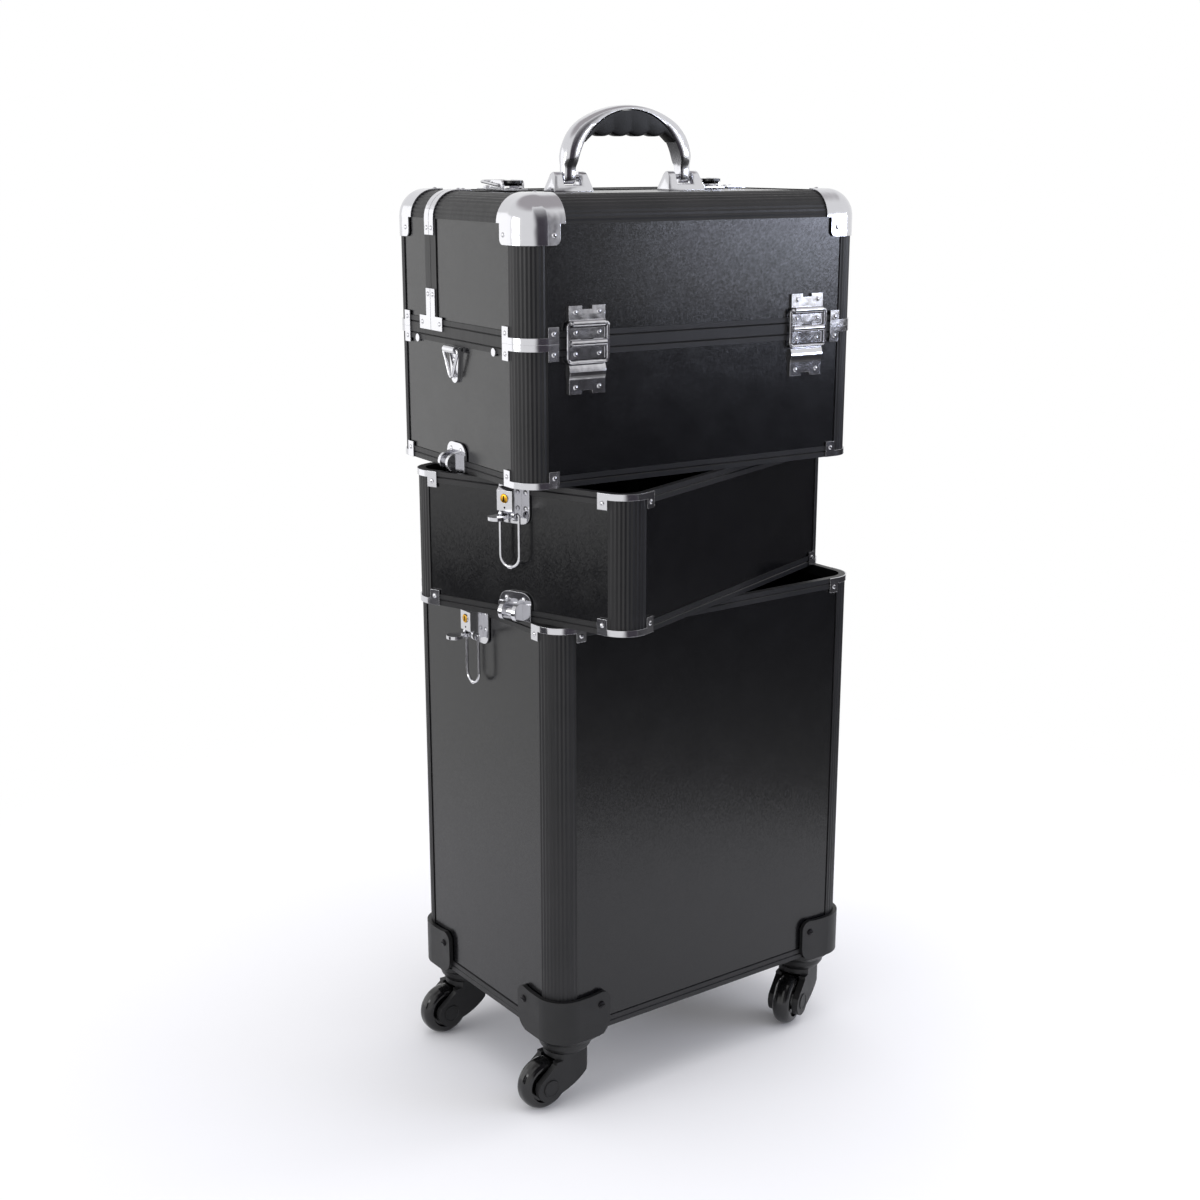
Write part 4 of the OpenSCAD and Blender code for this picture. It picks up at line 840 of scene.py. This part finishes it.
shoulder_x = BOW_HALF - SHOULDER_R
rise = BOW_RISE - SHOULDER_R
crown_z = (rise ** 2 - shoulder_x ** 2 - BOW_SPRING ** 2) / (2 * (rise - BOW_SPRING))
crown_r = BOW_RISE - crown_z
crown_from = math.atan2(BOW_SPRING - crown_z, shoulder_x)
stations = []
for turn in map(math.radians, TONGUE_TURNS):
    stations.append((BOW_HALF, PIVOT_Z - TONGUE_HALF * math.sin(turn), TONGUE_HALF * math.cos(turn)))
stations += [(BOW_HALF, z, TONGUE_HALF) for z in NECK_Z]
stations += [(BOW_HALF, z, half) for z, half in FLARE]
for i in range(1, SHOULDER_STEPS + 1):
    a = crown_from * i / SHOULDER_STEPS
    half = FLARE_END if i == 1 else STRAP_HALF
    stations.append((shoulder_x + SHOULDER_R * math.cos(a), BOW_SPRING + SHOULDER_R * math.sin(a), half))
for i in range(1, CROWN_STEPS + 1):
    a = crown_from + (math.pi / 2 - crown_from) * i / CROWN_STEPS
    stations.append((crown_r * math.cos(a), crown_z + crown_r * math.sin(a), STRAP_HALF))
stations += [(-x, z, half) for x, z, half in reversed(stations[:-1])]
loft("handle_bow_cast", [strap_ring(*station) for station in stations], chrome, "handle", "handle_bow")

# %% [markdown]
# The grip is moulded rubber that fills the arch, with a wave for each finger. It is lofted from side to
# side: every section has a flat top against the bow, and a round bottom that rises and falls.

# %% Handle grip
GRIP_HALF, FINGER_HALF, GRIP_HALF_W = 48.0, 37.0, 8.25
GRIP_R, GRIP_Z, WAVE, FINGERS = 55.4, 48.5, 2.5, 4
# The middle of a rounding lies about 0.3 of its radius in from the corner that it takes off.
GRIP_ROUND, MIDWAY = 3.5, 0.3
FINGER_STEPS, GRIP_ENDS = 16, [40.0, 43.0, 45.5, 47.5]


def grip_ring(x):
    """The grip's section at one place across the handle."""
    top = OPENING_Z + math.sqrt(GRIP_R ** 2 - x ** 2)
    low = GRIP_Z - WAVE * abs(math.sin(math.pi * FINGERS * (x / FINGER_HALF + 1) / 2))
    if abs(x) > FINGER_HALF:
        end_z = OPENING_Z + math.sqrt(GRIP_R ** 2 - GRIP_HALF ** 2)
        low = GRIP_Z + (end_z - GRIP_Z) * (abs(x) - FINGER_HALF) / (GRIP_HALF - FINGER_HALF)
    r = min(GRIP_ROUND, 0.5 * (top - low))
    side = [(GRIP_HALF_W, top), (GRIP_HALF_W, low + r),
            (GRIP_HALF_W - MIDWAY * r, low + MIDWAY * r), (GRIP_HALF_W - r, low)]
    return [Vector((x, y, z)) for y, z in side] + [Vector((x, -y, z)) for y, z in reversed(side)]


fingers = [FINGER_HALF * i / FINGER_STEPS for i in range(-FINGER_STEPS, FINGER_STEPS + 1)]
across = [-x for x in reversed(GRIP_ENDS)] + fingers + GRIP_ENDS
loft("handle_grip_rubber", [grip_ring(x) for x in across], rubber, "handle", "handle_grip")
